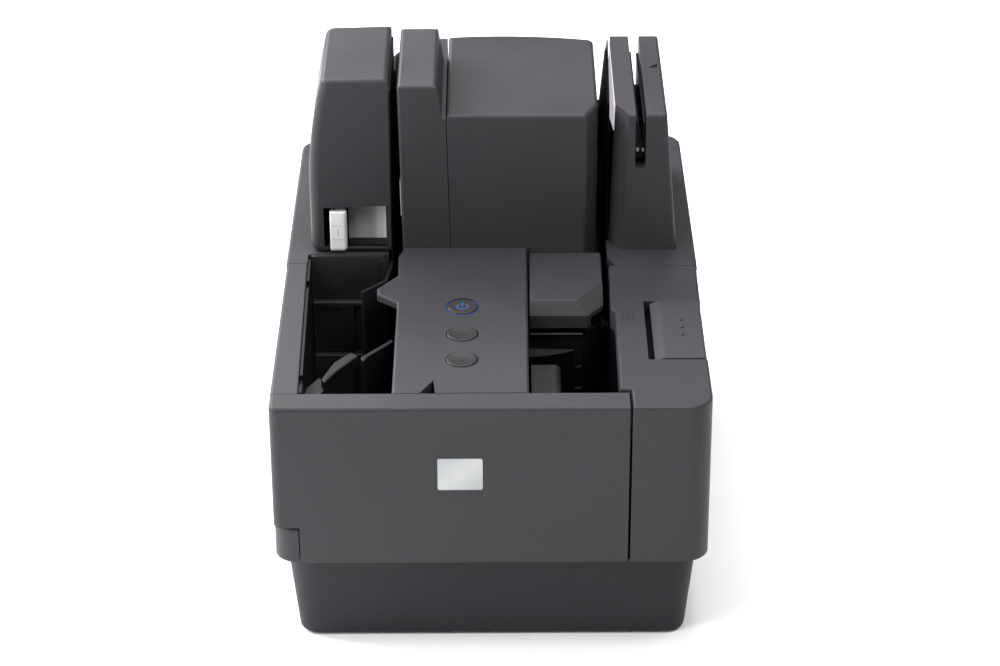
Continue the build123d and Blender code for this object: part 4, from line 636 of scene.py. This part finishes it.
# ---------------------------------------------------------------------------
# Floor, light, camera
# ---------------------------------------------------------------------------
def plain_floor():
    me = bpy.data.meshes.new("floor")
    s = 6.0
    me.from_pydata([(-s, -s, 0), (s, -s, 0), (s, s, 0), (-s, s, 0)], [], [(0, 1, 2, 3)])
    o = bpy.data.objects.new("floor", me)
    bpy.context.scene.collection.objects.link(o)
    m, nt, b = new_material("floor_paper")
    co = nt.nodes.new("ShaderNodeTexCoord")
    n1 = node(nt, "ShaderNodeTexNoise", Scale=3.0, Detail=3.0)
    nt.links.new(co.outputs["Object"], n1.inputs["Vector"])
    r = nt.nodes.new("ShaderNodeMapRange")
    r.inputs["To Min"].default_value = 0.96
    r.inputs["To Max"].default_value = 0.99
    nt.links.new(n1.outputs["Fac"], r.inputs["Value"])
    nt.links.new(r.outputs[0], b.inputs["Base Color"])
    b.inputs["Roughness"].default_value = 0.9
    b.inputs["Specular IOR Level"].default_value = 0.1
    me.materials.append(m)
    o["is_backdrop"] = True
    return o


plain_floor()


def area(name, loc, target, size, power, color=(1, 1, 1), size_y=None):
    ld = bpy.data.lights.new(name, "AREA")
    ld.shape = "RECTANGLE"
    ld.size = size
    ld.size_y = size_y or size
    ld.energy = power
    ld.color = color
    o = bpy.data.objects.new(name, ld)
    bpy.context.scene.collection.objects.link(o)
    o.location = loc
    d = Vector(target) - Vector(loc)
    o.rotation_euler = d.to_track_quat("-Z", "Y").to_euler()
    return o


LIGHTS = {
    "left_low": ((-1.355, 0.783, 0.453), (0, 0, 0.12), 0.6, 9.0),
    "left_front_low": ((-1.355, -0.783, 0.453), (0, 0, 0.12), 0.6, 11.5),
    "left": ((-1.302, 0.474, 0.92), (0, 0, 0.12), 0.8, 32.0),
    "left_back": ((-0.693, 1.2, 0.92), (0, 0, 0.12), 0.8, 18.5),
    "right": ((1.302, 0.474, 0.92), (0, 0, 0.12), 0.8, 1.8),
    "front_high": ((0.566, -0.566, 1.506), (0, 0, 0.12), 0.8, 13.4),
    "right_high": ((0.8, 0.0, 1.506), (0, 0, 0.12), 0.8, 3.5),
    "left_near": ((-0.45, -0.5, 0.75), (0, 0, 0.12), 0.4, 3.1),
    "back_near": ((0.0, 0.35, 0.75), (0, 0, 0.12), 0.4, 2.5),
    "top": ((0.0, 0.0, 1.72), (0, 0, 0.12), 0.9, 11.5),
}
for n, (loc, tgt, size, power) in LIGHTS.items():
    area(n, loc, tgt, size, power)

world = bpy.data.worlds.new("studio")
bpy.context.scene.world = world
world.use_nodes = True
bg = world.node_tree.nodes["Background"]
bg.inputs[0].default_value = (1.0, 1.0, 1.0, 1)
bg.inputs[1].default_value = 0.02

# camera solved from the photograph's straight edges
cam_data = bpy.data.cameras.new("camera")
cam_data.sensor_fit = "HORIZONTAL"
cam_data.sensor_width = 36.0
cam_data.lens = 2967.6 / 1000.0 * 36.0
cam_data.clip_start = 0.05
cam_data.clip_end = 30.0
cam = bpy.data.objects.new("camera", cam_data)
bpy.context.scene.collection.objects.link(cam)
pitch, roll, yaw = 0.494312310, -0.00400997546, 0.00102993164
F = Vector((math.sin(yaw) * math.cos(pitch), math.cos(yaw) * math.cos(pitch), -math.sin(pitch)))
R = Vector((math.cos(yaw), -math.sin(yaw), 0.0))
U = R.cross(F)
R2 = R * math.cos(roll) + U * math.sin(roll)
U2 = -R * math.sin(roll) + U * math.cos(roll)
width = 0.2
C = Vector((0.0205946691 * width, 0, 0)) - F * (6.63457671 * width) - U * (-0.169132692 * width)
C = C + Vector((0, -DEPTH / 2000.0, DECK / 1000.0))
rot = Matrix((R2, U2, -F)).transposed()
cam.matrix_world = Matrix.Translation(C) @ rot.to_4x4()
bpy.context.scene.camera = cam
bpy.context.scene.view_settings.view_transform = "Standard"
bpy.context.scene.view_settings.look = "None"

low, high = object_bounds()
